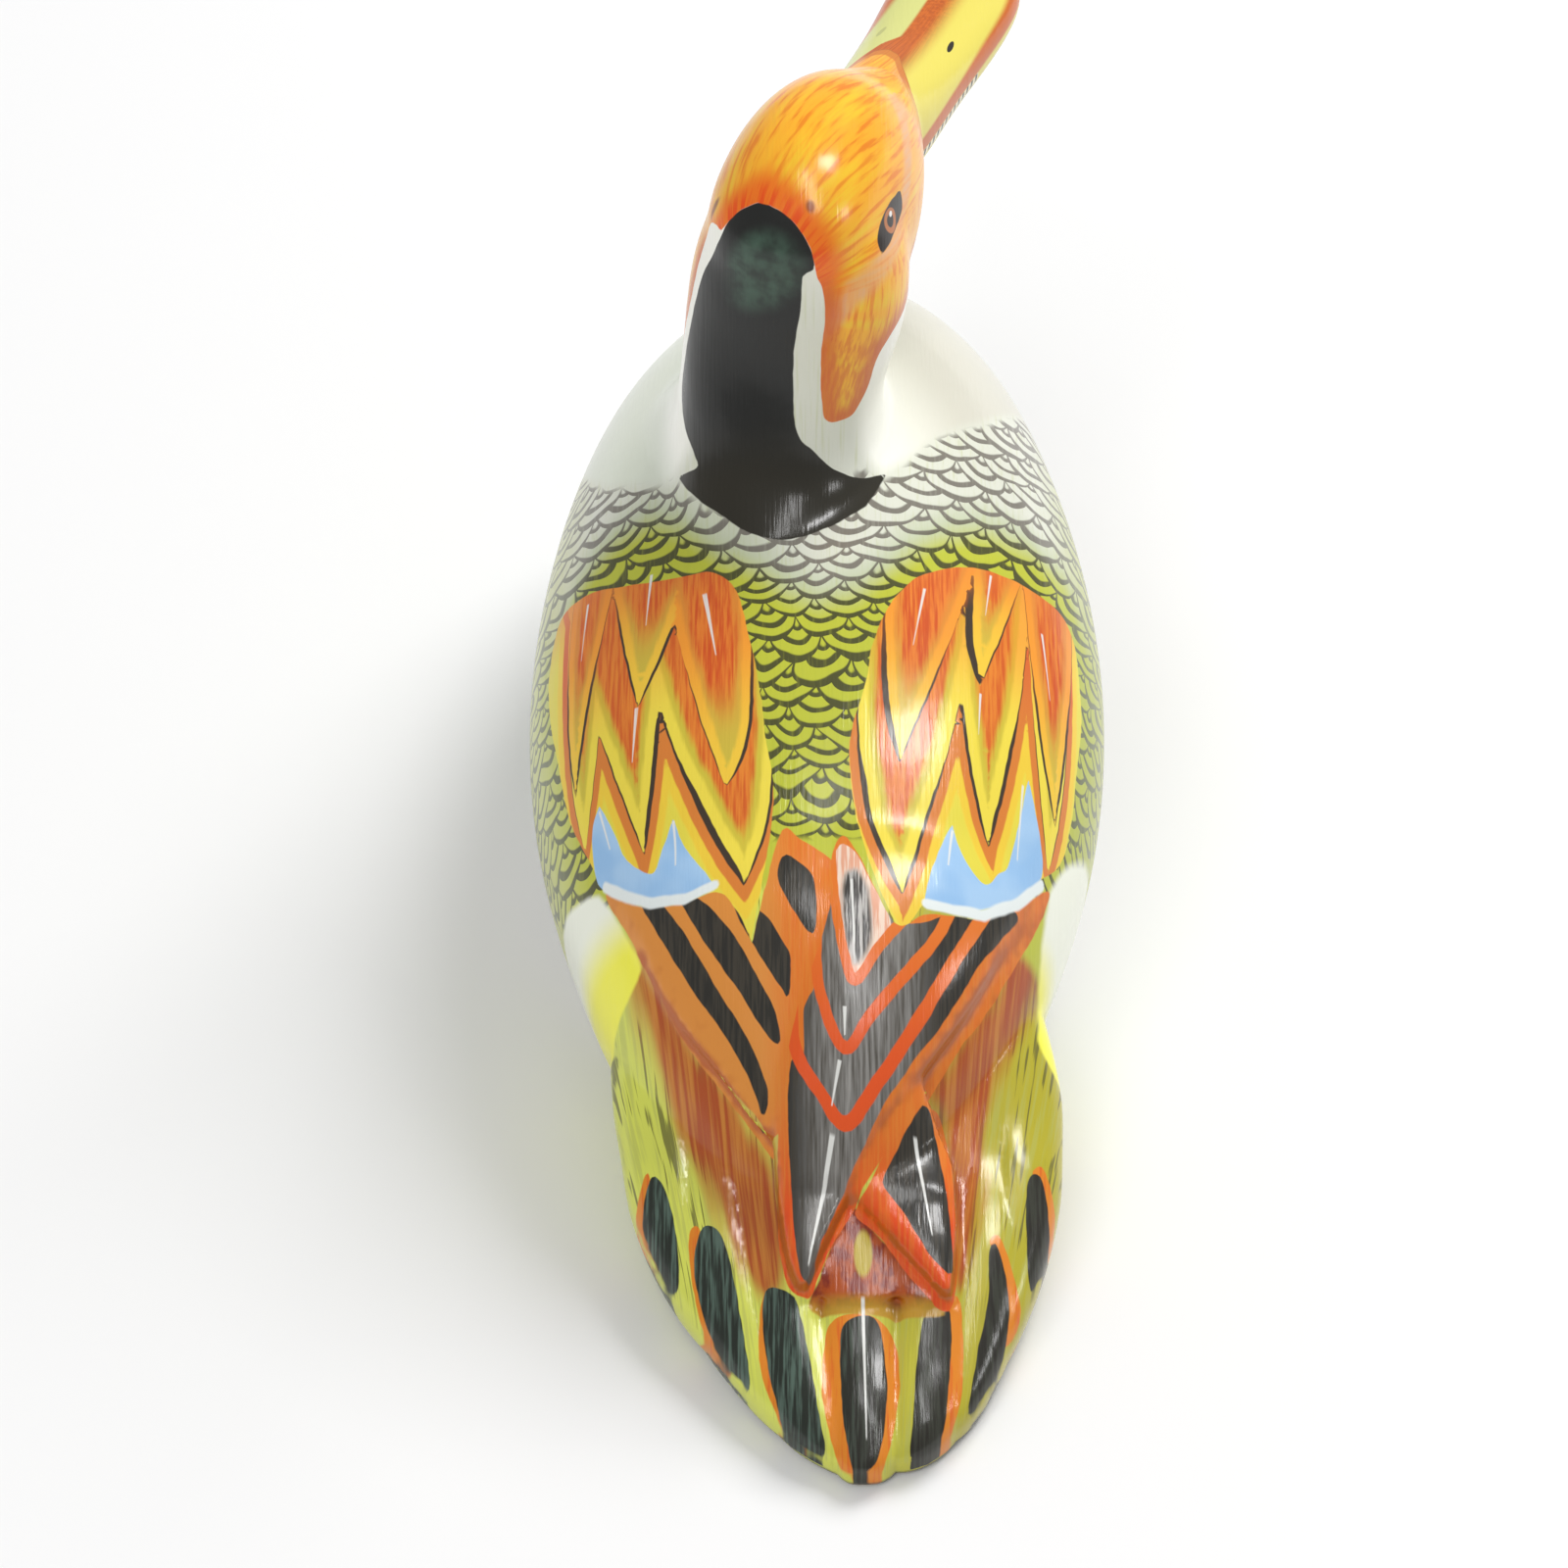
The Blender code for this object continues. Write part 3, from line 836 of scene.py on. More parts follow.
# Girth and station round each blue patch
BLUE_PATCHES = (
    (
        (51, 119), (48.5, 122.5), (48.5, 122.5), (45, 116.5), (41.5, 109.5), (34.5, 104),
        (32.5, 108), (30, 113), (30, 113), (27, 106.5), (21.5, 99.5), (20.5, 97), (26, 96),
        (34, 98), (41, 102), (48.5, 107), (51, 112),
    ),
    (
        (-20, 93.5), (-21, 98.5), (-24, 105), (-27.5, 111.5), (-27.5, 111.5), (-29.5, 105),
        (-33.5, 101.5), (-37.5, 105), (-41.5, 109.5), (-46, 126.5), (-46, 126.5), (-49.5, 118.5),
        (-51.5, 112.5), (-50, 109), (-43, 102.5), (-32.5, 96.5), (-25.5, 94),
    ),
)
# Girth and station at both ends of a stroke, width, taper
WHITE_ARCS = (
    (48, 107.5, 41, 102.5, 1.9, 0),
    (41, 102.5, 34, 98.5, 1.9, 0),
    (34, 98.5, 26, 96.5, 1.9, 0),
    (26, 96.5, 20, 97.5, 1.9, 0),
    (-20, 93.5, -25.5, 94, 1.9, 0),
    (-25.5, 94, -32.5, 95.5, 1.9, 0),
    (-32.5, 95.5, -43, 102, 1.9, 0),
    (-43, 102, -51.5, 109.5, 1.9, 0),
)
keep(
    "wing",
    any_of(inside(girth, station, outline) for outline in WINGS),
    any_of(inside(girth, station, outline) for outline in BLUE_PATCHES),
    any_of(stroke(girth, station, *ends) for ends in WHITE_ARCS),
)
print("points round the wings:", sum(len(outline) for outline in WINGS))

# %% [markdown]
# ## Flight feathers
#
# The long flight feathers lie in two bundles that cross over the rump. Both are orange with black
# feathers. On the right bundle, which lies on top, bent orange strokes part the black. The rump is
# nearly level, so these outlines are drawn as seen from above, in x and station. The girth would
# bend them where the tips stand proud.

# %% Outlines of the bundles
# x and station round the left bundle and the right one
BUNDLES = (
    (
        (42.5, 106), (36.5, 94), (32.5, 86), (26.5, 76), (18.5, 66.5), (12, 59.5), (8, 55.5),
        (7, 62), (5.5, 69.5), (3, 77), (0.5, 82.5), (-2, 90.5), (-2.5, 99.5), (-1.5, 101),
        (4, 104.5), (7, 106.5), (10, 96), (13, 84.5), (13, 84.5), (19, 95), (26.5, 95.5),
        (33.5, 97.5), (38.5, 101.5),
    ),
    (
        (-47, 110), (-43, 99.5), (-34, 83.5), (-26, 72.5), (-15.2, 57), (-9, 49), (-2.5, 39.5),
        (0, 34), (2, 30.5), (5.5, 32), (7.5, 38), (8, 47), (8, 55.5), (7, 62), (5.5, 69.5), (3, 77),
        (0.5, 82.5), (-2.5, 92.5), (-2.5, 101), (-5, 105.5), (-8.5, 100), (-15, 88.5), (-21, 91.5),
        (-27, 93), (-33, 95), (-41, 103),
    ),
)
# Black feathers of the left bundle
LEFT_BLACKS = (
    (
        (35.5, 99.5), (32, 98), (28.5, 93.5), (20.5, 80), (13.5, 69.5), (10, 62), (11, 59),
        (13.5, 64), (18.5, 72), (26.5, 83),
    ),
    (
        (27.5, 97), (23.5, 95.5), (16.5, 87), (12, 79.5), (9, 74.5), (7.5, 69), (10, 70),
        (16.5, 79), (22.5, 87.5),
    ),
    (
        (17.2, 94.5), (14.6, 88), (11.2, 82.6), (7.5, 77.5), (6, 76), (5.5, 81.5), (7, 85),
        (11, 90.5),
    ),
    (
        (7, 101.5), (4, 100), (1, 96.5), (0.5, 89), (1.5, 86), (5, 90.5), (8, 96.5),
    ),
)
# The black ground of the right bundle
RIGHT_BLACK = (
    (3, 31.5), (4, 33.5), (5, 40.5), (5.5, 48), (6, 54.5), (6, 61), (5.5, 65), (4.5, 65.5), (3, 66),
    (3, 72.5), (2, 75), (1, 76.5), (0.5, 81), (0, 85.5), (-0.5, 89), (-1.5, 91.5), (-2.5, 97),
    (-3.5, 100.5), (-10.5, 93.5), (-18, 89), (-29, 95), (-40, 100.5), (-36, 93), (-32, 87),
    (-28.5, 81), (-23.5, 73.5), (-19.5, 68.5), (-16.5, 64.5), (-12.5, 59.5), (-9, 54), (-5.8, 49),
    (-2.8, 43), (0.1, 36.5), (1.5, 32.5),
)
print("black feathers:", len(LEFT_BLACKS), "on the left bundle, one bent ground on the right")

# %% Outlines on the bundles
# The pale feather at the root of the right bundle and its grey middle
PALE_FEATHER = (
    (
        (-3, 93.5), (-2.5, 100), (-4.5, 104), (-4.5, 104), (-7, 102), (-10.5, 95.5), (-14.5, 87.5),
        (-11, 82.5), (-7, 78.5), (-4, 82),
    ),
    (
        (-5.5, 97), (-7.5, 98), (-7.5, 98), (-9.5, 93.5), (-10, 85), (-7, 80.5), (-5.5, 85),
        (-5.5, 85), (-5, 91.5),
    ),
)
# Middles of the bent strokes, from the left arm's end over the tip to the right arm's end
BENDS = (
    (
        (-2.5, 105), (-3, 94), (-4.5, 84), (-7, 77.5), (-12, 84), (-17.5, 90.5), (-26, 102),
    ),
    (
        (-0.5, 97), (0.5, 84), (-0.5, 74.5), (-5, 66.5), (-10, 72), (-22, 86), (-27, 95),
        (-36, 108),
    ),
    (
        (3, 92), (5, 76), (4.5, 66.5), (0, 60), (-5, 55.5), (-10.5, 61), (-21, 75.5), (-35, 99),
        (-47, 118),
    ),
)
# The left wing's tip, its black triangle and the hollow beside it
LEFT_TIP_PAINT = (
    (
        (-21, 65), (-25, 64), (-26.5, 49.5), (-27, 36.5), (-25, 28.5), (-18.5, 33), (-12, 41),
        (-7, 45.5), (-9.5, 48.5), (-14, 56),
    ),
    (
        (-20.5, 63), (-20.5, 63), (-22.5, 61.5), (-25, 48.5), (-26, 35.5), (-25, 33), (-25, 33),
        (-21.5, 36), (-16, 44.5), (-12.5, 49.5), (-15, 54.5), (-15, 54.5), (-18, 59.5),
    ),
    (
        (-6, 47), (-11, 42), (-18, 34.5), (-24.5, 28), (-12, 27.5), (1.5, 28.5), (0, 33.5),
        (-2.5, 39.5),
    ),
)
print("bent strokes:", len(BENDS))

# %% Flight feathers
BEYOND = 150.0
LEANS_OVER = -0.35
facing_up = normals_of(duck.data)[:, 2] > LEANS_OVER


def from_above(outline):
    """How far inside an outline of x and station each place on the upper side is."""
    return np.where(facing_up, inside(x, station, outline), -REACH)


def bend(middle):
    """The distance to the middle of a bent stroke, positive between its arms."""
    (left_end, _), (right_end, _) = middle[0], middle[-1]
    far_corners = ((right_end, BEYOND), (right_end, BEYOND), (left_end, BEYOND), (left_end, BEYOND))
    return from_above(middle + far_corners)


left_bundle, right_bundle = (from_above(outline) for outline in BUNDLES)
tip_paint, tip_black, tip_hollow = (from_above(outline) for outline in LEFT_TIP_PAINT)
pale, pale_middle = (from_above(outline) for outline in PALE_FEATHER)
bends = [bend(middle) for middle in BENDS]
keep("bundles", left_bundle, any_of(from_above(outline) for outline in LEFT_BLACKS), right_bundle)
keep("flights", from_above(RIGHT_BLACK), bends[0], pale)
keep("bends", bends[1], bends[2], pale_middle)
keep("tip", tip_paint, tip_black, tip_hollow)
print("places on the right bundle:", int((right_bundle > 0).sum()))

# %% [markdown]
# ## White strokes
#
# Last of all, thin white strokes light up the feathers. Each starts broad where the brush is put
# down and thins as it lifts. They are too many for outlines and all alike, so a table gives the
# two ends, and the skin keeps the place across and along the nearest one.

# %% Ends of the white strokes
# Girth and station at both ends of a stroke on the wings, width, taper
WING_STROKES = (
    (23.5, 159.5, 21, 145, 1.5, 0.8),
    (35.5, 168.5, 36.5, 156.5, 1, 0.8),
    (52, 169.5, 53.5, 156.5, 0.9, 0.8),
    (38.5, 138, 39.5, 127.5, 1.3, 0.8),
    (-22, 160.5, -19.5, 147, 0.9, 0.8),
    (-37, 169, -35.5, 158.5, 0.8, 0.8),
    (-34, 139.5, -33.5, 131, 0.8, 0.8),
    (-50, 160.5, -52, 146.5, 0.9, 0.8),
    (48.5, 121.5, 46, 113.5, 0.9, 0.5),
    (30, 112.5, 29, 104, 0.9, 0.5),
    (-27.5, 110, -25.5, 102.5, 0.9, 0.5),
    (-44.5, 124.5, -43.5, 110.5, 0.9, 0.5),
)
# The same with x and station, on the flight feathers and the tail
WHITE_STROKES = (
    (-2.5, 53.5, 2, 34, 1.6, 0.7),
    (-5, 73, -5, 68.5, 1.2, 0.7),
    (-4, 64.5, -2.5, 58, 1.2, 0.7),
    (-19, 57.5, -22, 40, 1.2, 0.7),
    (-8.5, 29.5, -9, 4.5, 1.1, 0.7),
    (-6.5, 96, -7, 80.5, 0.8, 0.7),
)
print("white strokes:", len(WING_STROKES) + len(WHITE_STROKES))

# %% White strokes
NEAR_STROKE = 3.0
PAST_ENDS = 0.6


def thin_strokes(u, v, table):
    """Offset to the side of the nearest stroke, place along it from 0 to 1, and its width there."""
    best, result = np.full(len(u), np.inf), np.zeros((3, len(u)))
    for u0, v0, u1, v1, width, taper in table:
        du, dv = u1 - u0, v1 - v0
        length = math.hypot(du, dv)
        share = ((u - u0) * du + (v - v0) * dv) / length**2
        off = ((u - u0) * dv - (v - v0) * du) / length
        away = np.hypot(off, (share - clamp(share)) * length)
        nearest = away < best
        best = np.where(nearest, away, best)
        result = np.where(nearest, (off, share, width / 2 * (1 - taper * clamp(share))), result)
    off, share, half = result
    off_stroke = (best > NEAR_STROKE) | (np.abs(share - 0.5) > PAST_ENDS)
    return off, share, np.where(off_stroke, -REACH, half)


keep("wing_strokes", *thin_strokes(girth, station, WING_STROKES))
across_stroke, along_stroke, half_stroke = thin_strokes(x, station, WHITE_STROKES)
half_stroke = np.where(facing_up & (station < 110), half_stroke, -REACH)
keep("body_strokes", across_stroke, along_stroke, half_stroke)
print("places on a stroke:", int((np.abs(across_stroke) < half_stroke).sum()))

# %% [markdown]
# ## Tail feathers
#
# Each tail feather is a black rib with an orange edge. No two are alike, so each has two outlines,
# and the black one lies on the orange one. The skin also keeps how steep it is, because the
# streaks of the tail fade on its steep sides.

# %% Black ribs of the tail
TAIL_BLACKS = (
    (
        (33, 58), (30, 53.5), (28, 45), (27.5, 38), (28.5, 37), (31, 41), (34, 47.5), (35, 52),
    ),
    (
        (23, 46), (19.5, 44.5), (17, 37), (15, 26.5), (13.5, 17), (15.5, 19), (19.5, 24.5),
        (22.5, 30.5), (24.5, 39),
    ),
    (
        (10, 33), (5, 31), (3.5, 27), (1.5, 17.5), (0, 8.5), (-1, 3), (2.5, 5), (7, 9), (10, 19),
        (11, 28),
    ),
    (
        (-4.5, 25), (-7.5, 27), (-11, 26.5), (-12.5, 21.5), (-13, 11.5), (-11.5, 1.5), (-9, -1),
        (-6.5, -1), (-4.5, 8), (-4, 19.5),
    ),
    (
        (-21, 28.5), (-25.5, 28.5), (-25, 14.5), (-23.5, 5.5), (-20.5, 3), (-17.5, 2), (-18, 8),
        (-19, 19.5),
    ),
    (
        (-33.5, 41.5), (-35, 42.5), (-37, 35), (-37, 28.5), (-35, 21), (-31, 14), (-29, 11.5),
        (-29, 13), (-31, 23), (-33, 32),
    ),
    (
        (-41.5, 56), (-44, 58), (-45.5, 52), (-45.5, 45), (-43, 39), (-41.5, 37), (-41, 45),
    ),
)
print("black ribs:", len(TAIL_BLACKS))

# %% Orange edges of the tail
TAIL_ORANGES = (
    (
        (34, 59), (36, 54.5), (36, 52), (32.5, 44), (29, 38), (31, 43), (32.5, 53),
    ),
    (
        (23.5, 46), (25.5, 45.5), (25, 37.5), (22.5, 28.5), (17, 20.5), (19.5, 26), (22, 38),
    ),
    (
        (10, 33), (11.5, 29), (11.5, 19), (8, 10.5), (2.5, 5), (5, 8), (8, 18.5), (9, 29),
    ),
    (
        (-2.5, 26.5), (-1, 22), (-0.5, 12), (-3, 2.5), (-5.5, -0.5), (-9, -1), (-12, -0.5),
        (-14, 5), (-15.5, 14.5), (-15, 22.5), (-12.5, 26), (-8, 27.5),
    ),
    (
        (-25.5, 30.5), (-27.5, 31.5), (-28, 22.5), (-27.5, 13.5), (-25.5, 7.5), (-23.5, 5),
        (-20.5, 3), (-22, 8.5), (-23.5, 21.5), (-24, 29),
    ),
    (
        (-33.5, 43), (-35.5, 44.5), (-38, 38.5), (-39.5, 31), (-35.5, 24.5), (-36.5, 31.5),
        (-35, 39.5),
    ),
    (
        (-42.5, 58.5), (-44.5, 60), (-46.5, 55.5), (-47, 51), (-45, 44), (-44.5, 50), (-43.5, 56),
    ),
)
keep(
    "tail",
    any_of(from_above(outline) for outline in TAIL_BLACKS),
    any_of(from_above(outline) for outline in TAIL_ORANGES),
    1 - normals_of(duck.data)[:, 2],
)
print("orange edges:", len(TAIL_ORANGES))

# %% [markdown]
# ## Scales, flank patches and shades
#
# The scales start in a ragged line over the shoulders, where the ground is still white, and stop
# before the flight feathers. A patch that fades from white to yellow lies on each flank behind the
# wing. Brown shade lies in the corner between the tail and each bundle of flight feathers. Lines
# that cross the whole back need no closed outline. A station for each girth does.

# %% Outlines of the scales, flank patches and shades
# Girth and station where the scales begin, where the green begins and where the scales end
SCALES_BEGIN = (
    (-110, 178), (-104, 200), (-96, 218), (-84, 232), (-70, 240), (-54, 242), (-36, 218),
    (-26, 207), (-20, 198), (-14, 191), (29, 191), (38, 196), (49, 204), (57, 215), (70, 235),
    (80, 238), (90, 230), (98, 216), (104, 198), (110, 176),
)
GREEN_BEGINS = (
    (-67, 170), (-59, 181), (-47, 183), (-35, 182), (-26, 177), (-19, 171), (-9, 160), (0, 157),
    (7, 160), (21, 171), (28, 180), (37, 186), (47, 183), (56, 178), (62, 166),
)
SCALES_END = (
    (-90, 140), (-76, 127), (-60, 112), (-40, 98), (-12, 104), (12, 104), (40, 98), (57, 104),
    (76, 114), (90, 130),
)
# x and station round each flank's patch
FLANK_PATCHES = (
    (
        (44, 107), (44, 107), (36.5, 93), (36, 89), (42, 85.5), (50, 84), (64, 98), (64, 125),
        (53, 113),
    ),
    (
        (-47, 110), (-47, 110), (-45, 99), (-44.5, 90), (-45, 84), (-52, 80), (-66, 92), (-66, 136),
        (-53, 121),
    ),
)
# x and station round the shade beside each bundle
SHADES = (
    (
        (39, 96.5), (37.5, 88.5), (33.5, 78.5), (28, 68), (22.5, 56.5), (17.5, 44), (13.5, 35.5),
        (9.5, 32.5), (7, 42.5), (9, 55), (13.5, 61), (19.5, 68), (26.5, 77), (33, 89), (36.5, 94.5),
    ),
    (
        (-46, 106), (-44, 96), (-40, 86), (-35.5, 76), (-32, 65), (-32, 57.5), (-30.5, 45),
        (-28.5, 35.5), (-25.5, 34), (-25.5, 47), (-25, 64), (-23, 69), (-29, 77.5), (-35, 86.5),
        (-39.5, 96.5),
    ),
)
print("shades:", len(SHADES))

# %% Scales, flank patches and shades
FAR = 40.0
# x and station of the point that the tail's streaks spread from
FAN_POINT = (-8.0, -120.0)


def along_back(rows):
    """The station of a line across the back, at each place's girth."""
    return np.interp(girth, *np.array(rows).T)


behind_shoulder, in_green = along_back(SCALES_BEGIN) - station, along_back(GREEN_BEGINS) - station
before_end = station - along_back(SCALES_END)
keep("scales", *(np.clip(measure, -FAR, FAR) for measure in (behind_shoulder, in_green, before_end)))
in_patch = any_of(from_above(outline) for outline in FLANK_PATCHES)
in_shade = any_of(from_above(outline) for outline in SHADES)
keep("flank", in_patch, in_shade, np.hypot(x - FAN_POINT[0], station - FAN_POINT[1]))
print("places with scales:", int((behind_shoulder > 0).sum()))

# %% [markdown]
# ## Nape, head and bill
#
# The nape is black down to a crescent on the back. White runs up each side of it, and the rest of
# the head is orange down to a rounded lobe on each cheek. The eyes and nostrils are painted. A
# girth means nothing on the neck, so its outlines go by the angle round it and by the height.

# %% Outlines of the nape and the head
# Degrees round the neck, and height and station together
NAPE = (
    (19.5, 251.5), (7.5, 250.5), (-3.5, 248.5), (-10.5, 245.5), (-15, 242), (-16, 238.5),
    (-10, 237), (-9, 231.5), (-6.5, 227), (-5, 221.5), (-4.5, 215.5), (-5, 210), (-7, 206),
    (-12, 204), (-15, 202.5), (-19.5, 200.5), (-28, 199), (-35, 199), (-44.5, 200), (-44.5, 200),
    (-35, 196), (-28.5, 193), (-22, 191), (-13, 188), (0, 185.5), (11.5, 187.5), (18.5, 190.5),
    (26.5, 193), (35, 196), (45, 199.5), (45, 199.5), (35, 201), (39, 204), (49, 209), (56, 213),
    (63.5, 219), (64.5, 227), (62, 234), (57, 240), (44.5, 245), (37, 249.5),
)
# Degrees from the middle of the nape, positive on the duck's left, and height
HEAD_PAINT = (
    (0, 156.3), (-13, 156.3), (-24, 155.3), (-31, 153.2), (-35.5, 150), (-37, 146), (-38, 143.5),
    (-40, 141), (-40.7, 136), (-39.5, 131), (-38, 124), (-37.7, 113), (-39.6, 110), (-44.3, 108.8),
    (-52.3, 108.6), (-58.3, 110.9), (-63, 114.7), (-66, 120), (-71.5, 123), (-84.4, 125.5),
    (-130, 127), (-200, 124), (-200, 124), (-200, 200), (-200, 200), (200, 200), (200, 200),
    (200, 124), (200, 124), (130, 127), (95, 124), (84, 119), (76, 112), (68, 109), (60, 110),
    (54.5, 116), (49, 126), (46.5, 136), (46, 142), (42, 146), (36.5, 147.8), (30, 148.5),
    (24.5, 148.5), (20, 151), (14, 153.5), (7, 155.5),
)
# Distance forward and height on either side of the head
EYE = (
    (7.6, 148.8), (7.6, 148.8), (6.5, 144.6), (0, 143.4), (-7, 143.2), (-7, 143.2), (-6, 146.2),
    (0, 149),
)
# Distance aside and forward of the line between head and bill
BILL_LINE = (
    (-16, 34), (-12, 42), (-7.4, 54.5), (-5.5, 59.5), (-3, 61), (0, 59), (2.5, 54), (7.8, 44.5),
    (12, 39), (16, 34),
)
# Distance forward and height along the middle of the pale band that passes under the eye
EYE_BAND = (
    (-26, 120), (-20, 133.6), (-16, 139), (-10, 141), (0, 142.5), (10, 146), (17, 151), (24, 155),
)
print("points round the nape and the head:", len(NAPE) + len(HEAD_PAINT))

# %% Nape, head and bill
# About as many millimetres as a degree spans on the neck's skin
DEGREE = 0.42
from_middle = np.abs(aside)
nape = inside(around * DEGREE, upward, np.array(NAPE) * (DEGREE, 1))
head_paint = inside(from_nape * DEGREE, height, np.array(HEAD_PAINT) * (DEGREE, 1))
on_cheeks = (from_middle > 12) & (height > 100)
eye = np.where(on_cheeks, inside(forward, height, EYE), -REACH)
keep("neck", nape, head_paint, eye)
keep("neck_round", np.clip(around, -90, 90), upward)
to_bill = np.clip(forward - np.interp(aside, *np.array(BILL_LINE).T), -REACH, REACH)
to_bill = np.where((forward > 20) & (height > 115), to_bill, -REACH)
under_eye = np.clip(height - np.interp(forward, *np.array(EYE_BAND).T), -REACH, REACH)
under_eye = np.where(from_middle > 9, under_eye, REACH)
keep("bill", to_bill, under_eye)
print("measures on the skin:", len(duck.data.attributes))

# %% [markdown]
# ## The paint
#
# The real finish is acrylic hobby paint, brushed in coats on sanded wood: a white ground, thin
# washes over it, and crisp strokes last. It dries satin, and a wash shows the streaks of the
# brush. Every edge wanders a little, because the brush is held by hand. The patches could be
# painted into a picture wrapped round the duck, but a picture turns coarse close up. Here one
# material lays coat over coat as the painter did. A texture node can't know where a feather ends,
# so it reads the measures that the skin keeps.

# %% Nodes and colours
painted_wood = bpy.data.materials.new("varnished_painted_wood")
painted_wood.use_nodes = True
tree = painted_wood.node_tree


def add(kind, *sources, out=0, **settings):
    """Adds a node with its settings, and gives back its output.

    Each source is a value or a link for the input in its place, or None to leave that input alone.
    A kind with a second word, such as "Math ADD", also gives the operation.
    """
    kind, *operation = kind.split()
    made = tree.nodes.new("ShaderNode" + kind)
    if operation:
        made.operation = operation[0]
    for name, value in settings.items():
        setattr(made, name, value)
    for socket, source in zip(made.inputs, sources):
        if isinstance(source, bpy.types.NodeSocket):
            tree.links.new(source, socket)
        elif source is not None:
            socket.default_value = source
    return made.outputs[out]


def colour(code):
    """A linear colour for the shader, from its sRGB code."""
    parts = [int(code[i : i + 2], 16) / 255 for i in (0, 2, 4)]
    return *(part / 12.92 if part < 0.04045 else ((part + 0.055) / 1.055) ** 2.4 for part in parts), 1.0


print("material", painted_wood.name, "starts with", len(tree.nodes), "nodes")

# %% Laying a coat
EDGE_SOFTNESS = 0.12


def lay(below, coat, cover):
    """Lays a coat over what is below it, by its cover from 0 to 1. Both may be colour codes."""
    below, coat = (colour(paint) if isinstance(paint, str) else paint for paint in (below, coat))
    return add("MixRGB", cover, below, coat)


def fade(measure, start, end, low=0.0, high=1.0):
    """A cover that goes from low to high while the measure goes from start to end."""
    return add("MapRange", measure, start, end, low, high, interpolation_type="SMOOTHSTEP")


def crisp(measure, soft=EDGE_SOFTNESS):
    """The cover of a coat with an edge where the measure is zero."""
    return fade(measure, -soft, soft)


def where_all(*covers):
    """The cover where all the given covers meet."""
    result = covers[0]
    for cover in covers[1:]:
        result = add("Math MULTIPLY", result, cover)
    return result


def band(measure, start, end, soft=EDGE_SOFTNESS):
    """The cover of a stroke that lies between two values of the measure."""
    return where_all(fade(measure, start - soft, start + soft), fade(measure, end + soft, end - soft))


def oval(*axes):
    """From 0 in the middle of an oval to 1 at its edge. Each axis is a measure, a middle, a radius."""
    total = 0.0
    for measure, middle, radius in axes:
        share = add("Math DIVIDE", add("Math SUBTRACT", measure, middle), radius)
        total = add("Math MULTIPLY_ADD", share, share, total)
    return add("Math SQRT", total)


print("the edge of a stroke is", 2 * EDGE_SOFTNESS, "mm soft")

# %% [markdown]
# ## Brush marks
#
# A bristle is about 0.15 mm thick, too fine to show in the picture. So the marks here are those of
# four bristles stuck together by the paint, 0.6 mm wide, and sixteen times as long. The hand's
# wander bends an edge by a quarter of a millimetre, over waves of four. Both come from noise laid
# out in the duck's own millimetres, so they hold in every view.

# %% Brush marks
BRISTLE_MARK = 0.6
MARK_STRETCH = (1, 16, 30)
WANDER = 0.5
WANDER_WAVE = 4.0


def grain(place, size, stretch=(1, 1, 1), detail=2.0, shift=0.0):
    """Noise from 0 to 1 with grains of a size in mm, longer where stretch is more."""
    scaled = add("VectorMath MULTIPLY", place, [1 / (size * longer) for longer in stretch])
    moved = add("VectorMath ADD", scaled, (shift, shift, shift))
    return add("TexNoise", moved, None, 1.0, detail, 0.5)


def sway(noise, amount):
    """Turns noise into a shift in mm, by half the amount to either side."""
    return add("Math MULTIPLY_ADD", noise, amount, -amount / 2)


def pushed(measure, other, amount=1.0):
    """A measure pushed on by some of another. Where the other is noise, a coat's edge frays."""
    return add("Math MULTIPLY_ADD", other, amount, measure)


def measured(name):
    """The three measures kept on the skin under a name."""
    return add("SeparateXYZ", add("Attribute", attribute_name=name, out=1), out=slice(3))


on_skin = add("Attribute", attribute_name="place", out=1)
to_left, along_duck, above_floor = measured("place")
round_trunk, along_trunk, proud_of_back = measured("back")
from_spine = add("Math ABSOLUTE", round_trunk)
wander = sway(grain(on_skin, WANDER_WAVE, detail=1.0), WANDER)
brushed = grain(on_skin, BRISTLE_MARK, MARK_STRETCH, 3.0)


def edges(name):
    """The measures under a name, wandering a little as a brush held by hand does."""
    return [add("Math ADD", measure, wander) for measure in measured(name)]


print("bristle marks", BRISTLE_MARK, "mm wide, edges wander up to", WANDER / 2, "mm")

# %% [markdown]
# ## Scales
#
# The back carries rows of scales like a drake's fine feathers, each drawn as three arcs one inside
# the other. Laying thousands of arcs as geometry would be heavy, so the shader counts rows and
# columns along the skin, works out the distance from the rim of the scale that lies on top, and
# draws a dark line wherever that distance comes round to the next arc. The sizes are those of the
# real scales, which a fine brush draws by eye, so they also drift and press unevenly.

# %% Arcs of the scales
SCALE_WIDTH = 14.5
SCALE_RADIUS = 7.9
FLATTENED = 1.3
ROW_SPACING = 6.1
FIRST_ROW = 168.0
ARC_SPACING = 3.3
ARC_WIDTH = 0.95
ARC_SOFTNESS = 0.2
ROWS_ON_TOP = (0.0, 1.0, 2.0)
# Length of the drift's waves, its amount, and where in the noise it starts
DRIFT_ROUND, DRIFT_ALONG = (17.0, 8.0, 7.0), (14.0, 6.0, 19.0)


def drift(wave, amount, shift):
    """Lets the rows of scales bend slowly, as those drawn by eye do."""
    return sway(grain(on_skin, wave, detail=1.0, shift=shift), amount)


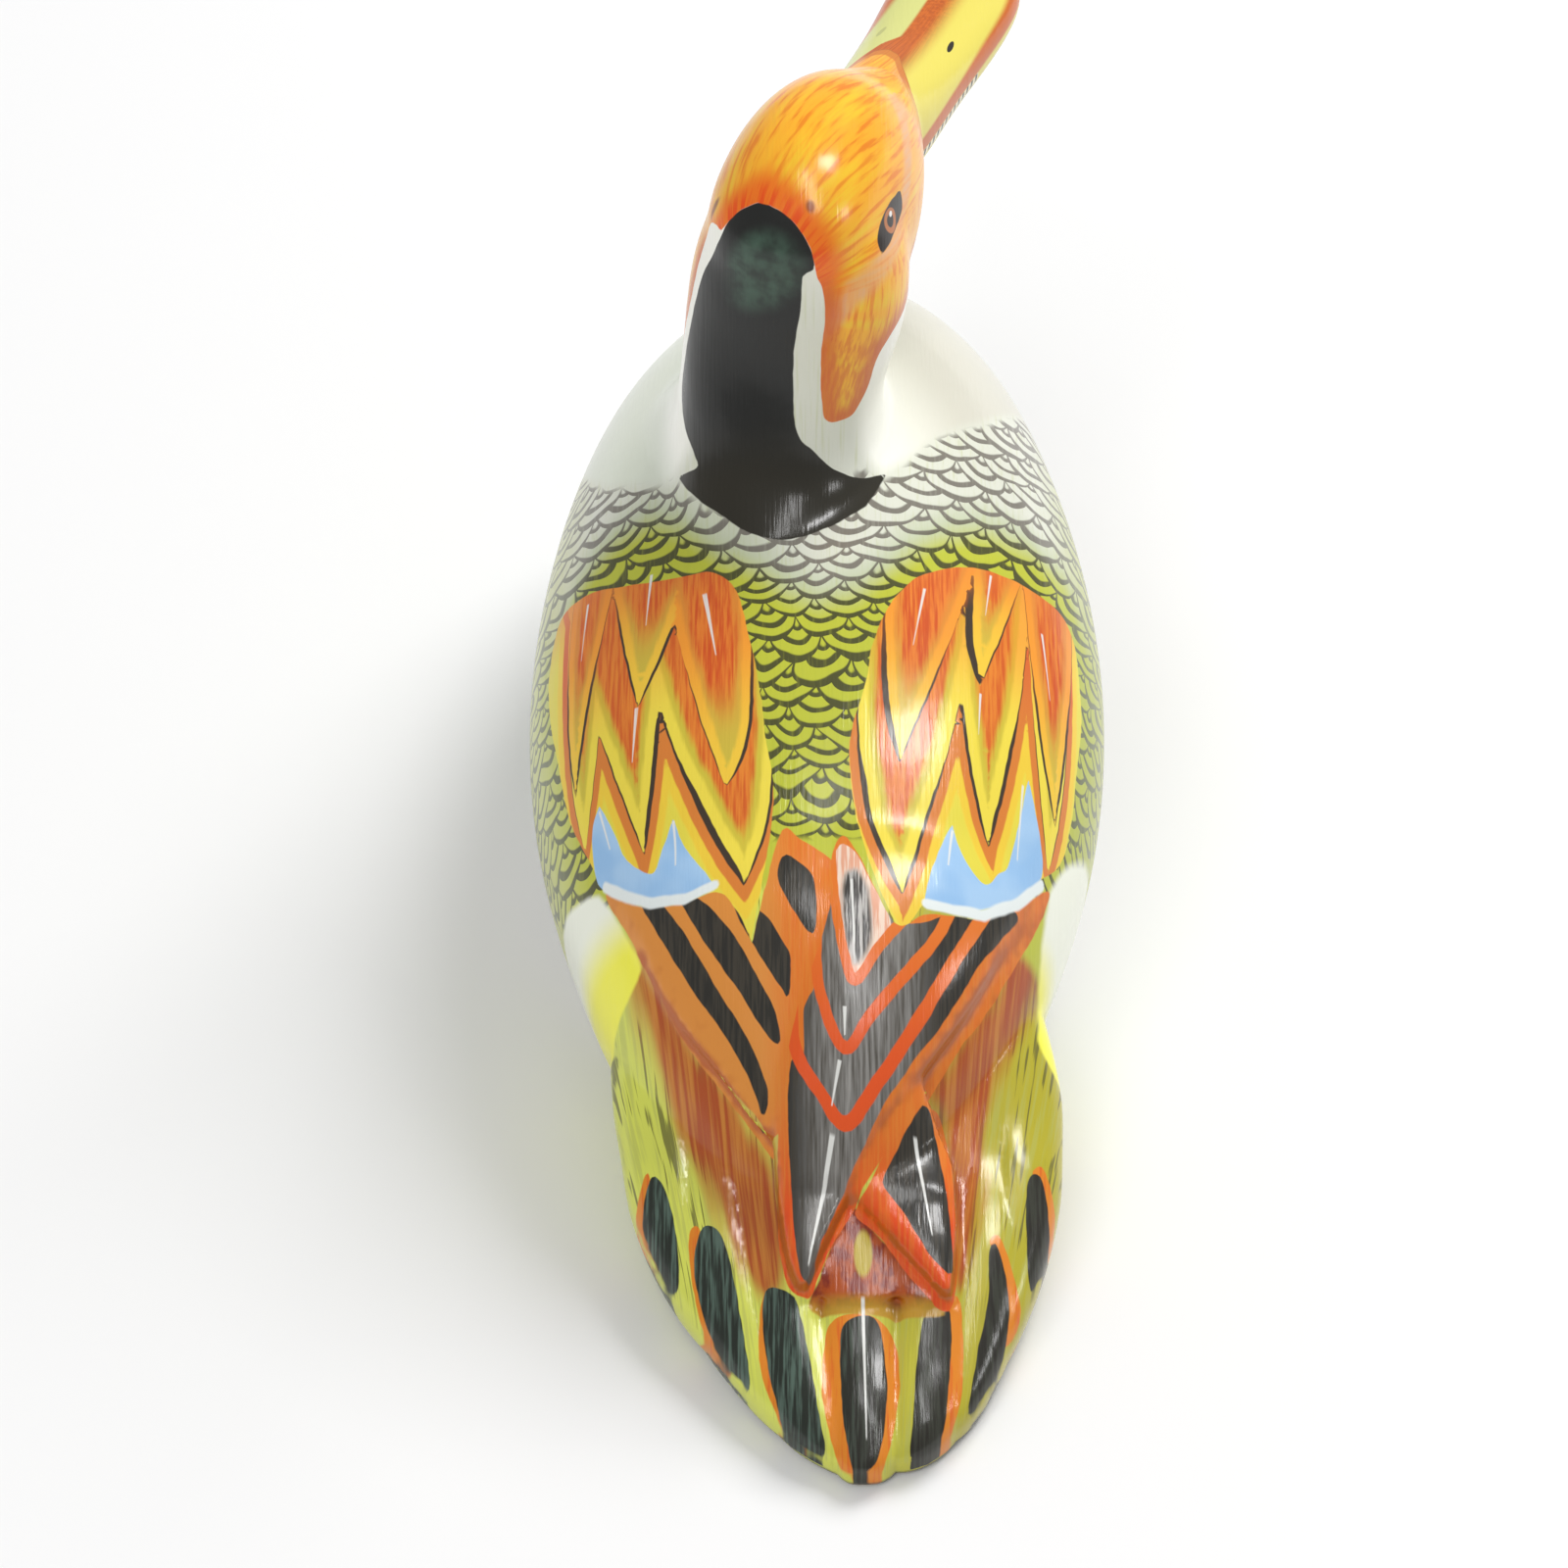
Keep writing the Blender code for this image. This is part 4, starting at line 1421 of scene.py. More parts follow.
drift_round, drift_along = drift(*DRIFT_ROUND), drift(*DRIFT_ALONG)
smaller = fade(along_trunk, 150.0, 185.0, 1.3, 1.0)
column_at = add("Math MULTIPLY", add("Math ADD", round_trunk, drift_round), smaller)
column_at = add("Math DIVIDE", column_at, SCALE_WIDTH)
row_at = add("Math ADD", add("Math ADD", along_trunk, -FIRST_ROW), drift_along)
row_at = add("Math DIVIDE", add("Math MULTIPLY", row_at, smaller), ROW_SPACING)
row = add("Math FLOOR", row_at)
from_rim = bolder = None
for ahead in ROWS_ON_TOP:
    this_row = add("Math ADD", row, ahead)
    half_column = add("Math MULTIPLY", add("Math FLOORED_MODULO", this_row, 2.0), 0.5)
    shifted = add("Math SUBTRACT", column_at, half_column)
    scale_place = add("CombineXYZ", add("Math FLOOR", shifted), this_row, 0.0)
    luck = add("TexWhiteNoise", scale_place, noise_dimensions="2D")
    sideways = sway(add("Math FRACT", shifted), SCALE_WIDTH)
    forwards = add("Math SUBTRACT", row_at, this_row)
    forwards = add("Math MULTIPLY_ADD", forwards, ROW_SPACING / FLATTENED, wander)
    forwards = add("Math ADD", forwards, sway(luck, 1.0))
    square = add("Math MULTIPLY", sideways, sideways)
    distance = add("Math SQRT", add("Math MULTIPLY_ADD", forwards, forwards, square))
    half_chord = add("Math MAXIMUM", add("Math SUBTRACT", SCALE_RADIUS**2, square), 0.0)
    # Arcs that are moved back rather than shrunk keep their width, and half of each looks right
    moved_back = add("Math ADD", forwards, add("Math SQRT", half_chord))
    shrunk = add("Math SUBTRACT", SCALE_RADIUS, distance)
    inward = add("Math MULTIPLY", add("Math ADD", moved_back, shrunk), 0.5)
    pressed = fade(add("Math ABSOLUTE", sideways), 6.5, 2.0, 0.7, 1.35)
    pressed = where_all(pressed, add("Math MULTIPLY_ADD", luck, 0.5, 0.75))
    if from_rim is None:
        from_rim, bolder = inward, pressed
    else:
        on_top = add("Math LESS_THAN", distance, SCALE_RADIUS)
        from_rim, bolder = lay(from_rim, inward, on_top), lay(bolder, pressed, on_top)
arc = add("Math FLOORED_MODULO", from_rim, ARC_SPACING)
inside_arc = add("Math SUBTRACT", add("Math MULTIPLY", bolder, ARC_WIDTH), arc)
before_middle = fade(from_rim, SCALE_RADIUS, SCALE_RADIUS - 0.6)
arc_drawn = where_all(crisp(inside_arc, ARC_SOFTNESS), before_middle)
print("scales", SCALE_WIDTH, "mm wide in rows", ROW_SPACING, "mm apart")

# %% [markdown]
# ## Ground and scales
#
# The ground is washed from white at the shoulders to a yellow green behind them, and paler again
# down the sides. The belly stays white. The scales' line is grey on the white and dark olive on
# the green, which is what one thin brown-black looks like over each. Separate meshes for the
# grounds would show their seams, so each wash is only a colour whose cover fades along the body.

# %% Ground and scales
behind_shoulder, in_green, before_end = measured("scales")
ragged = pushed(behind_shoulder, drift_along, 1.2)
where_drawn = where_all(
    fade(ragged, -1.0, 2.5),
    fade(proud_of_back, 4.0, 2.0),
    fade(from_spine, 104.0, 96.0),
    fade(before_end, 0.0, 2.0),
)
greenish = pushed(in_green, drift_along, 0.8)

painted = lay("D9DBCD", "B9C49E", fade(greenish, -12.0, 0.0, 0.0, 0.75))
painted = lay(painted, "BDC23A", fade(greenish, -4.0, 7.0))
flank_green = lay("C9CE80", "B4BC58", fade(to_left, 0.0, -10.0))
painted = lay(painted, flank_green, fade(from_spine, 50.0, 72.0, 0.0, 0.9))
painted = lay(painted, "E2E1D8", fade(from_spine, 96.0, 112.0))
painted = lay(painted, "A9B23A", fade(brushed, 0.5, 0.75, 0.0, 0.25))
# The white carries painted light: greener on the duck's left as a painted reflection, darker and warmer
# on its right to hold back the key lamp, and brighter up the neck, where the head shades it.
white_with_painted_light = lay("DCE2D2", "D2D0C2", fade(to_left, 30.0, -30.0))
white_with_painted_light = lay(white_with_painted_light, "FAFAF0", fade(above_floor, 84.0, 96.0))
painted = lay(painted, white_with_painted_light, fade(behind_shoulder, 2.0, -4.0))
line_paint = lay("7C786E", "4C4D24", fade(greenish, -6.0, 4.0))
line_paint = lay(line_paint, "767C5C", fade(from_spine, 50.0, 72.0))
painted = lay(painted, line_paint, where_all(arc_drawn, where_drawn, fade(brushed, 0.2, 0.5, 0.8, 1.0)))
print("ground and scales:", len(tree.nodes), "nodes")

# %% [markdown]
# ## Tail and flanks
#
# The tail is a streaked yellow green, brown in the shade of the wing tips. The painter pulled the
# brush out along the fan, so the streaks spread from a point on the back. Straight noise would
# cross the feathers at the sides, so this noise is laid out by the angle and the distance from
# that point: streaks 0.8 mm wide and 22 mm long, and broader ones of 3 mm for the brown's edge.

# %% Tail and flanks
STREAK = (0.825, 22.2)
BROAD_STREAK = (3.0, 33.3)
FAN_REACH = 165.0
tail_black, tail_orange, steep = edges("tail")
flank_patch, in_shade, from_fan = edges("flank")
fan_x, fan_station = (add("Math SUBTRACT", *pair) for pair in zip((to_left, along_duck), FAN_POINT))
fan_angle = add("Math DIVIDE", fan_x, fan_station)


def fanned(width, length, shift, detail):
    """Streaks that spread with the tail's fan, as wide as given at FAN_REACH from its point."""
    across = add("Math MULTIPLY", fan_angle, FAN_REACH / width)
    outward = add("Math DIVIDE", from_fan, length)
    return add("TexNoise", add("CombineXYZ", across, outward, shift), None, 1.0, detail, 0.5)


fan_streaks, fan_broad = fanned(*STREAK, 0.0, 2.0), fanned(*BROAD_STREAK, 5.0, 1.0)
on_top = fade(steep, 1.0, 0.75)
tail_paint = lay("D6DC5C", "AEA01E", fade(to_left, 8.0, -30.0, 0.0, 0.85))
tail_paint = lay(tail_paint, "B0B45C", where_all(fade(fan_streaks, 0.5, 0.35, 0.0, 0.5), on_top))
dark_streaks = where_all(fade(fan_streaks, 0.56, 0.62), fade(along_duck, 26.0, 42.0, 0.1, 0.8), on_top)
tail_paint = lay(tail_paint, "5E5B2C", dark_streaks)
brown_paint = lay("C8792E", "AE4A1C", fade(fan_streaks, 0.35, 0.6))
brown = add("Math ADD", in_shade, sway(fan_broad, 5.0))
tail_paint = lay(tail_paint, brown_paint, fade(brown, -2.6, 1.6, 0.0, 0.95))
painted = lay(painted, tail_paint, fade(along_duck, 97.0, 94.0))
flank_paint = lay("F2F5E6", "F6F24E", fade(along_duck, 104.5, 93.5))
painted = lay(painted, flank_paint, crisp(flank_patch, 0.5))
painted = lay(painted, lay("DE8420", "D9691C", fade(brushed, 0.5, 0.7)), crisp(tail_orange))
to_right = fade(to_left, 6.0, -12.0)
# The teal-grey streaks on the ribs, stronger on the duck's left, are partly the ribs' own green-grey
# paint and partly a painted sheen.
rib_paint_and_sheen = lay("20271F", "24211A", to_right)
rib_paint_and_sheen = lay(rib_paint_and_sheen, lay("52665B", "36382E", to_right), fade(brushed, 0.42, 0.66))
painted = lay(painted, rib_paint_and_sheen, crisp(tail_black))
print("tail and flanks:", len(tree.nodes), "nodes")

# %% [markdown]
# ## Wings
#
# Each covert is painted from its edge inward: a yellow rim outside, an orange band, a thin dark
# line, then yellow and an orange core that the brush drags towards the root. Every band could
# have its own outline, but they all follow the feather's edge, so the distance from that edge
# gives all of them at once. The lower layer goes on first, and the upper one overlaps it.

# %% Lower wing coverts
wing, blue, white_arc = edges("wing")
edge, line, along = edges("lower_coverts")
high_up = fade(along_duck, 132.0, 158.0)
dark_line = lay("3E3226", "7A431F", high_up)
coverts = lay("EAD748", "F0CC3C", fade(edge, -4.0, -3.4))
coverts = lay(coverts, lay("D97F32", "D9642C", high_up), fade(edge, -2.2, -1.8))
coverts = lay(coverts, dark_line, fade(edge, -0.3, -0.05))
LINE_SHIFT = 0.4
line = add("Math ADD", line, LINE_SHIFT)
coverts = lay(coverts, lay("EFDA4A", "F0A638", high_up), crisp(line))
coverts = lay(coverts, lay("D0BE3C", "DDA02C", high_up), fade(pushed(line, brushed), 2.2, 3.2))
core = where_all(fade(pushed(line, brushed, 1.6), 3.6, 5.4), fade(along, 6.0, 14.0))
coverts = lay(coverts, lay("E5842C", "D05E1E", fade(brushed, 0.35, 0.65)), core)
wing_paint = lay("E6D84A", coverts, fade(edge, -4.4, -3.8))
print("lower coverts:", len(tree.nodes), "nodes")

# %% Upper wing coverts
edge, line, along = edges("upper_coverts")
high_up = fade(along, 4.0, 34.0)
line = add("Math ADD", line, LINE_SHIFT)
upper = lay("3E3226", "8A4A1C", fade(along, 14.0, 40.0))
upper = lay(upper, lay("F2C83E", "F2992E", high_up), crisp(line))
upper = lay(upper, lay("CDB840", "DE8C30", high_up), fade(pushed(line, brushed, 1.2), 1.9, 3.0))
core = where_all(fade(pushed(line, brushed, 2.5), 3.2, 5.4), fade(along, 10.0, 24.0))
upper = lay(upper, lay("E5802A", "CE5018", fade(brushed, 0.35, 0.65)), core)
wing_paint = lay(wing_paint, upper, crisp(add("Math ADD", edge, 0.15)))
wing_paint = lay(wing_paint, "E08230", fade(along_duck, 158.0, 176.0, 0.0, 0.6))
painted = lay(painted, wing_paint, crisp(wing))
print("upper coverts:", len(tree.nodes), "nodes")

# %% [markdown]
# ## Flight feathers
#
# The bundles are orange with black feathers between. On the right one, which lies on top, the
# black is dragged thin and shows grey marks, partly grey wood marks and partly a painted sheen of
# the varnish, and three bent orange strokes cross it. The grey is laid over the black rather than
# scraped out of it, which needs no other coat below.

# %% Hollow between the tips
left_bundle, left_black, right_bundle = edges("bundles")
right_black, first_bend, pale = edges("flights")
second_bend, third_bend, grey_middle = edges("bends")
tip_paint, tip_black, tip_hollow = edges("tip")
HOLLOW_MARK = 2.2
hollow_marks = grain(on_skin, HOLLOW_MARK, (1, 3, 1), 3.0, 3.0)
# The hollow's dark red is partly its own red paint and partly painted shade, for the shadow of the
# crossed tips above it.
hollow_paint_and_shade = lay("A8480A", "7C240A", fade(hollow_marks, 0.42, 0.62))
splash = oval((to_left, -8.6, 1.9), (along_duck, 38.2, 4.6))
hollow_paint_and_shade = lay(hollow_paint_and_shade, "B8A228", fade(splash, 1.1, 0.77))
hollow_paint_and_shade = lay(hollow_paint_and_shade, "C8A032", fade(along_duck, 31.5, 28.5, 0.0, 0.8))
painted = lay(painted, hollow_paint_and_shade, crisp(tip_hollow, 0.3))
print("hollow:", len(tree.nodes), "nodes")

# %% Left bundle and its tip
orange = lay("DF7420", "E07E28", fade(brushed, 0.4, 0.6))
orange = lay(orange, "DD8E3C", fade(to_left, 4.0, 12.0))
red_tip = where_all(fade(along_duck, 62.0, 40.0), fade(brushed, 0.65, 0.35, 0.55, 1.0))
orange = lay(orange, "DF4A14", red_tip)
# On the steep walls of the tips the orange is painted darker, as painted shade.
orange = lay(orange, "B85E20", fade(steep, 0.45, 0.75))
black = lay("3C372E", "292722", fade(brushed, 0.4, 0.6))
left_bundle = add("Math ADD", left_bundle, 0.35)
in_left = add("Math MINIMUM", left_black, left_bundle)
for coat, cover in ((orange, tip_paint), (black, tip_black), (orange, left_bundle), (black, in_left)):
    painted = lay(painted, coat, crisp(cover))
print("left bundle:", len(tree.nodes), "nodes")

# %% Right bundle, blue patches and white arcs
BLUE_WASH = 16.0
# The grey over the black is partly dry brushing and partly a painted sheen.
grey_marks_and_sheen = where_all(fade(brushed, 0.15, 0.85, 0.0, 0.8), band(to_left, -20.0, 2.0, 5.0))
right_paint = lay(orange, lay(black, "A8A5A0", grey_marks_and_sheen), crisp(right_black))
pale_paint = lay("F3D9C4", "E39A78", fade(brushed, 0.5, 0.62, 0.0, 0.8))
grey_paint = lay("3A3734", "B9B5B0", fade(brushed, 0.45, 0.6))
right_paint = lay(right_paint, pale_paint, crisp(pale))
right_paint = lay(right_paint, grey_paint, fade(grey_middle, -1.2, 0.4))
stroke_paint = lay("E25318", "E27724", fade(along_trunk, 62.0, 95.0))
for bend_middle, half in ((first_bend, 0.95), (second_bend, 1.05), (third_bend, 1.1)):
    right_paint = lay(right_paint, stroke_paint, band(bend_middle, -half, half))
painted = lay(painted, right_paint, crisp(right_bundle))
blue_paint = lay("97C1EA", "A9CDEF", fade(grain(on_skin, BLUE_WASH), 0.4, 0.6))
painted = lay(painted, blue_paint, crisp(blue))
painted = lay(painted, "E7EEEC", crisp(white_arc, 0.3))
print("flight feathers:", len(tree.nodes), "nodes")

# %% [markdown]
# ## Nape
#
# A black band runs down the nape and thins to brown at its foot. Near its top, blotches of green
# dabbed on the black make the teal shine of a drake's head: partly teal paint and partly a painted
# sheen. A real shine of that kind changes with the view, but here it is paint, so noise with
# grains of 4 mm inside an oval is enough.

# %% Nape
BLOTCH = 4.0
nape, head_paint, eye = edges("neck")
round_neck, up_neck, _ = measured("neck_round")
blotches = grain(on_skin, BLOTCH, (1, 2, 1), 2.0, 2.0)
nape_paint = lay("1A1B19", "2B271B", fade(up_neck, 212.0, 196.0, 0.0, 0.8))
# Teal blotches near the top of the nape, partly teal paint and partly a painted sheen.
teal_paint_and_sheen = fade(oval((round_neck, 13.0, 27.0), (up_neck, 238.5, 8.5)), 1.1, 0.55)
nape_paint = lay(nape_paint, "40584A", where_all(teal_paint_and_sheen, fade(blotches, 0.3, 0.7, 0.25, 1.0)))
painted = lay(painted, nape_paint, crisp(nape))
print("nape:", len(tree.nodes), "nodes")

# %% [markdown]
# ## Head
#
# The head's plumes are fine strokes of orange over gold, 0.85 mm wide and about 14 times as long.
# On the crown they run forward along the head, and on the cheek they run down. Hair or modelled
# plumes would stand proud, while these are flat paint. So two noises are stretched along two
# directions and joined at the eye. A paler band passes under the eye.

# %% Plumes of the head
PLUME = 0.85
PLUME_STRETCH = (14.3, 1, 1)
HEAD_AXIS_HEIGHT = 137.0
HEAD_RADIUS = 15.0
to_bill, under_eye, _ = measured("bill")
face_forward, face_aside, face_up = measured("face")
from_middle = add("Math ABSOLUTE", face_aside)
round_head = add("Math ARCTAN2", face_aside, add("Math SUBTRACT", face_up, HEAD_AXIS_HEIGHT))
round_head = add("Math MULTIPLY", round_head, HEAD_RADIUS)
combed = add("CombineXYZ", face_forward, pushed(round_head, face_forward, -0.12), 0.0)
combed_down = add("CombineXYZ", face_up, face_aside, pushed(face_forward, face_up, -0.35))
on_crown, on_cheek = (grain(place, PLUME, PLUME_STRETCH, 3.0) for place in (combed, combed_down))
plumes = lay(on_cheek, on_crown, fade(face_up, 136.0, 143.0))
broad_plumes = grain(combed, 4 * PLUME, PLUME_STRETCH, 1.0, 4.0)
print("plumes", PLUME, "mm wide")

# %% Head
head_coat = lay("F9B92A", "E48218", fade(plumes, 0.5, 0.64, 0.0, 0.9))
golden = where_all(fade(broad_plumes, 0.42, 0.6), fade(plumes, 0.55, 0.4, 0.2, 0.85))
by_bill = where_all(
    band(to_bill, -6.0, 0.0, 2.2),
    fade(face_aside, -2.0, 5.0, 0.2, 1.0),
    fade(plumes, 0.3, 0.6, 0.85, 0.4),
)
by_eye = where_all(
    band(under_eye, -2.5, 2.5, 1.6),
    fade(face_aside, -6.0, 4.0, 0.3, 1.0),
    fade(plumes, 0.3, 0.6, 0.95, 0.55),
)
low_cheek = where_all(
    fade(face_up, 136.0, 122.0),
    fade(face_forward, 14.0, -2.0),
    fade(plumes, 0.35, 0.6, 0.3, 0.9),
)
near_nape = where_all(fade(pushed(nape, plumes, 5.0), -9.0, 0.5), fade(face_up, 128.0, 138.0))
lobe_edge = where_all(fade(head_paint, 5.0, 1.0, 0.0, 0.85), fade(face_up, 146.0, 138.0))
for coat, cover in (
    ("F4CC2C", golden),
    ("E3AC7C", by_bill),
    ("E5B488", by_eye),
    ("D9822C", low_cheek),
    (lay("EC5208", "F27814", fade(plumes, 0.4, 0.6)), near_nape),
    ("CE6426", lobe_edge),
):
    head_coat = lay(head_coat, coat, cover)
SPOT_RADIUS = 1.3
for spot_forward, spot_aside in ((-12.8, -14.2), (-14.1, 6.8)):
    spot = oval((face_forward, spot_forward, SPOT_RADIUS), (face_aside, spot_aside, SPOT_RADIUS))
    head_coat = lay(head_coat, "7A2A10", fade(spot, 1.0, 0.35, 0.0, 0.8))
seam = where_all(band(nape, -1.5, 0.0), fade(face_up, 149.0, 151.0))
painted = lay(painted, head_coat, add("Math MAXIMUM", crisp(head_paint), seam))
print("head:", len(tree.nodes), "nodes")

# %% [markdown]
# ## Bill and eyes
#
# The bill is yellow on its right, in the light, and greener on its left; the split between the two
# is painted light and shade. It has an orange ridge and an orange line above the teeth. Nostrils,
# teeth and eyes are drawn with a fine brush on the smooth wood. They could be cut in, but the real
# ones are flat, so they are ovals and bands of the head's own measures.

# %% Bill
TOOTH_SPACING = 2.4
NOSTRIL_FORWARD, NOSTRIL_ASIDE = 70.0, 7.9
# Yellow on the bill's right and green on its left: painted light and shade.
bill_paint = lay("E6D862", "D6D884", fade(face_aside, -2.0, -3.0))
from_left = add("Math ADD", face_aside, fade(to_bill, 8.0, 0.0, 0.0, 6.0))
ridge = where_all(fade(from_left, -3.2, -2.4), fade(face_aside, 6.0, 0.6))
bill_paint = lay(bill_paint, lay("B8581C", "D06A20", fade(plumes, 0.4, 0.6)), ridge)
on_sides = fade(from_middle, 7.0, 9.0)
above_gape = add("Math ADD", face_up, fade(face_aside, 0.0, -8.0, 0.0, -1.8))
bill_paint = lay(bill_paint, "CC661C", where_all(band(above_gape, 131.5, 135.4, 0.6), on_sides))
teeth = where_all(band(face_up, 129.5, 131.5, 0.1), band(face_forward, 42.0, 74.0), on_sides)
tooth = band(add("Math FLOORED_MODULO", face_forward, TOOTH_SPACING), 0.4, 1.5)
bill_paint = lay(bill_paint, lay("F2E8C0", "2E2A22", tooth), teeth)
rim = lay("CC722A", "D89A60", fade(face_aside, 6.0, 11.0))
rim = lay("9A4A26", rim, fade(to_bill, 0.2, -0.6))
painted = lay(painted, rim, where_all(band(to_bill, -3.0, 0.5, 0.4), 0.8))
painted = lay(painted, bill_paint, crisp(to_bill))
past_nostril = add("Math SUBTRACT", face_forward, NOSTRIL_FORWARD)
slanted = pushed(from_middle, past_nostril, 0.1)
nostril = fade(oval((past_nostril, 0.0, 2.4), (slanted, NOSTRIL_ASIDE, 0.55)), 1.06, 0.94)
nostril = where_all(nostril, crisp(to_bill), fade(face_aside, -4.0, 4.0, 0.25, 1.0))
painted = lay(painted, "2A2622", nostril)
print("bill:", len(tree.nodes), "nodes")

# %% Eyes and white strokes
EYE_MIDDLE, EYE_GLINT = (0.4, 146.1), (1.2, 147.1)
FLATTER = 0.93
eye_paint = "2A2320"
for tint, (eye_forward, eye_up), radius in (
    ("B8703F", EYE_MIDDLE, 2.65),
    ("241E1B", EYE_MIDDLE, 1.45),
    ("F4F2EE", EYE_GLINT, 0.65),
):
    spot = oval((face_forward, eye_forward, radius), (face_up, eye_up, radius * FLATTER))
    eye_paint = lay(eye_paint, tint, fade(spot, 1.06, 0.94))
painted = lay(painted, eye_paint, crisp(eye))

THINNER = 0.65
for name in ("wing_strokes", "body_strokes"):
    stroke_across, stroke_along, stroke_half = measured(name)
    half = add("Math MULTIPLY", stroke_half, THINNER)
    within = add("Math SUBTRACT", half, add("Math ABSOLUTE", stroke_across))
    cover = where_all(crisp(within), band(stroke_along, -0.02, 1.02, 0.02))
    painted = lay(painted, "E9E9E4", where_all(cover, fade(brushed, 0.25, 0.5, 0.6, 0.9)))
print("eyes and strokes:", len(tree.nodes), "nodes")

# %% [markdown]
# ## Underside
#
# The foot of the tail is painted dark, as a painted contact shadow where it meets the floor. The
# sawn face below was never painted: it shows the bare, pale wood, a fast-grown softwood whose
# darker rings are 1.4 mm apart where the saw cuts them along the duck. A separate plate could
# carry it, but it is the same block, so it is one more coat that covers only the lowest tenth of
# a millimetre.

# %% Foot and underside
RING_SPACING = 1.4
# A painted contact shadow: the tail's foot is darkened where it meets the floor.
painted_contact_shadow = where_all(fade(above_floor, 2.4, 1.0, 0.0, 0.85), fade(along_duck, 120.0, 90.0))
painted = lay(painted, "2E2A1C", painted_contact_shadow)
rings = grain(on_skin, RING_SPACING, (1, 30, 1), 3.0)
bare_wood = lay("D2B184", "A98353", fade(rings, 0.42, 0.62))
painted = lay(painted, bare_wood, fade(above_floor, 0.15, 0.03))
print("underside:", len(tree.nodes), "nodes")

# %% [markdown]
# ## Varnish
#
# The dry acrylic is satin, and the shine is a thick, brushed alkyd varnish over it. The eye gets
# deep colours and small bright glints from it. Both have an IOR of about 1.5 and no metal. Light
# hardly turns where one meets the other, so the base's own specular is low, and the varnish is
# the shader's coat. A brushed gloss varnish starts from a roughness of 0.1, and 0.18 matches the
# soft rims of the glints here. It follows the brush marks, 0.07 mm deep, and the slow waves that
# sanding leaves, 0.1 mm high and 7 mm long.

# %% Varnish
MARK_DEPTH = 0.07
WAVE_HEIGHT, WAVE_LENGTH = 0.1, 7.0
waves = add("Math MULTIPLY", grain(on_skin, WAVE_LENGTH, detail=1.0, shift=5.0), WAVE_HEIGHT)
relief = add("Bump", 1.0, METRES, None, pushed(waves, brushed, MARK_DEPTH))
shader = tree.nodes["Principled BSDF"]
for socket, source in (("Base Color", painted), ("Normal", relief), ("Coat Normal", relief)):
    tree.links.new(source, shader.inputs[socket])
for socket, value in (
    ("IOR", 1.5),
    ("Metallic", 0.0),
    ("Roughness", 0.5),
    ("Specular IOR Level", 0.1),
    ("Coat Weight", 0.75),
    ("Coat Roughness", 0.18),
    ("Coat IOR", 1.5),
):
    shader.inputs[socket].default_value = value
duck.data.materials.append(painted_wood)
print("painted with", len(tree.nodes), "nodes")

# %% [markdown]
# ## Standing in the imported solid's place
#
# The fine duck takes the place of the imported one. It is set down with its middle on the frame's
# origin and its sawn face on the floor, and turned to metres. The object's own scale could do
# that, but moving the points themselves leaves nothing to apply later. It is made a hair smaller,
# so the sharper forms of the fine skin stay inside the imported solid's box.

# %% Place the duck
HAIR_SMALLER = 0.9985
points = points_of(duck.data)
low, high = points.min(axis=0), points.max(axis=0)
middle_x, middle_y, _ = (low + high) / 2
stand_on = np.array((middle_x, middle_y, low[2]))
set_points(duck, (points - stand_on) * METRES * HAIR_SMALLER)
duck.data.shade_smooth()
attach(duck, "root")
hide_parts("carved_duck")
print("the fine duck is", [round(size * METRES * HAIR_SMALLER, 4) for size in high - low], "m")

# %% [markdown]
# ## Floor
#
# The duck stands on background paper. It is uncoated, rolled paper, so the eye sees a soft white
# without glare. Paper starts from an IOR of 1.5 and a roughness near 0.6. Its fibres are far too
# fine to show, so it has no pattern. One flat face is enough, wide enough that its edge never
# comes into the picture.

# %% Floor
FLOOR_REACH = 6.0
floor_mesh = bpy.data.meshes.new("floor")
corners = [(FLOOR_REACH * i, FLOOR_REACH * j, 0) for i, j in ((-1, -1), (1, -1), (1, 1), (-1, 1))]
floor_mesh.from_pydata(corners, [], [(0, 1, 2, 3)])
floor = bpy.data.objects.new("floor", floor_mesh)
bpy.context.scene.collection.objects.link(floor)
paper = bpy.data.materials.new("uncoated_white_paper")
paper.use_nodes = True
paper_shader = paper.node_tree.nodes["Principled BSDF"]
for socket, value in (("Base Color", colour("EFEFEF")), ("IOR", 1.5), ("Roughness", 0.6)):
    paper_shader.inputs[socket].default_value = value
floor_mesh.materials.append(paper)
print("floor", 2 * FLOOR_REACH, "m wide")

# %% [markdown]
# ## Light
#
# The light is that of a small studio: a key lamp ahead of the duck on its right, a weaker fill
# from the tail's side, and pale walls all round. Gloss varnish mirrors every lamp, so a
# photographer puts polarising sheets on the big soft lamps, which take their mirror images away,
# and sets small lamps only for the glints. The key and the fill here light the paint without a
# glint, and the three small lamps make glints and light nothing else.

# %% Light
WALL_LIGHT = 0.42
ON_THE_BODY = (0, 0, 0.05)
world = bpy.data.worlds.new("studio")
world.use_nodes = True
for socket, value in (("Color", colour("FFFFFF")), ("Strength", WALL_LIGHT)):
    world.node_tree.nodes["Background"].inputs[socket].default_value = value
bpy.context.scene.world = world


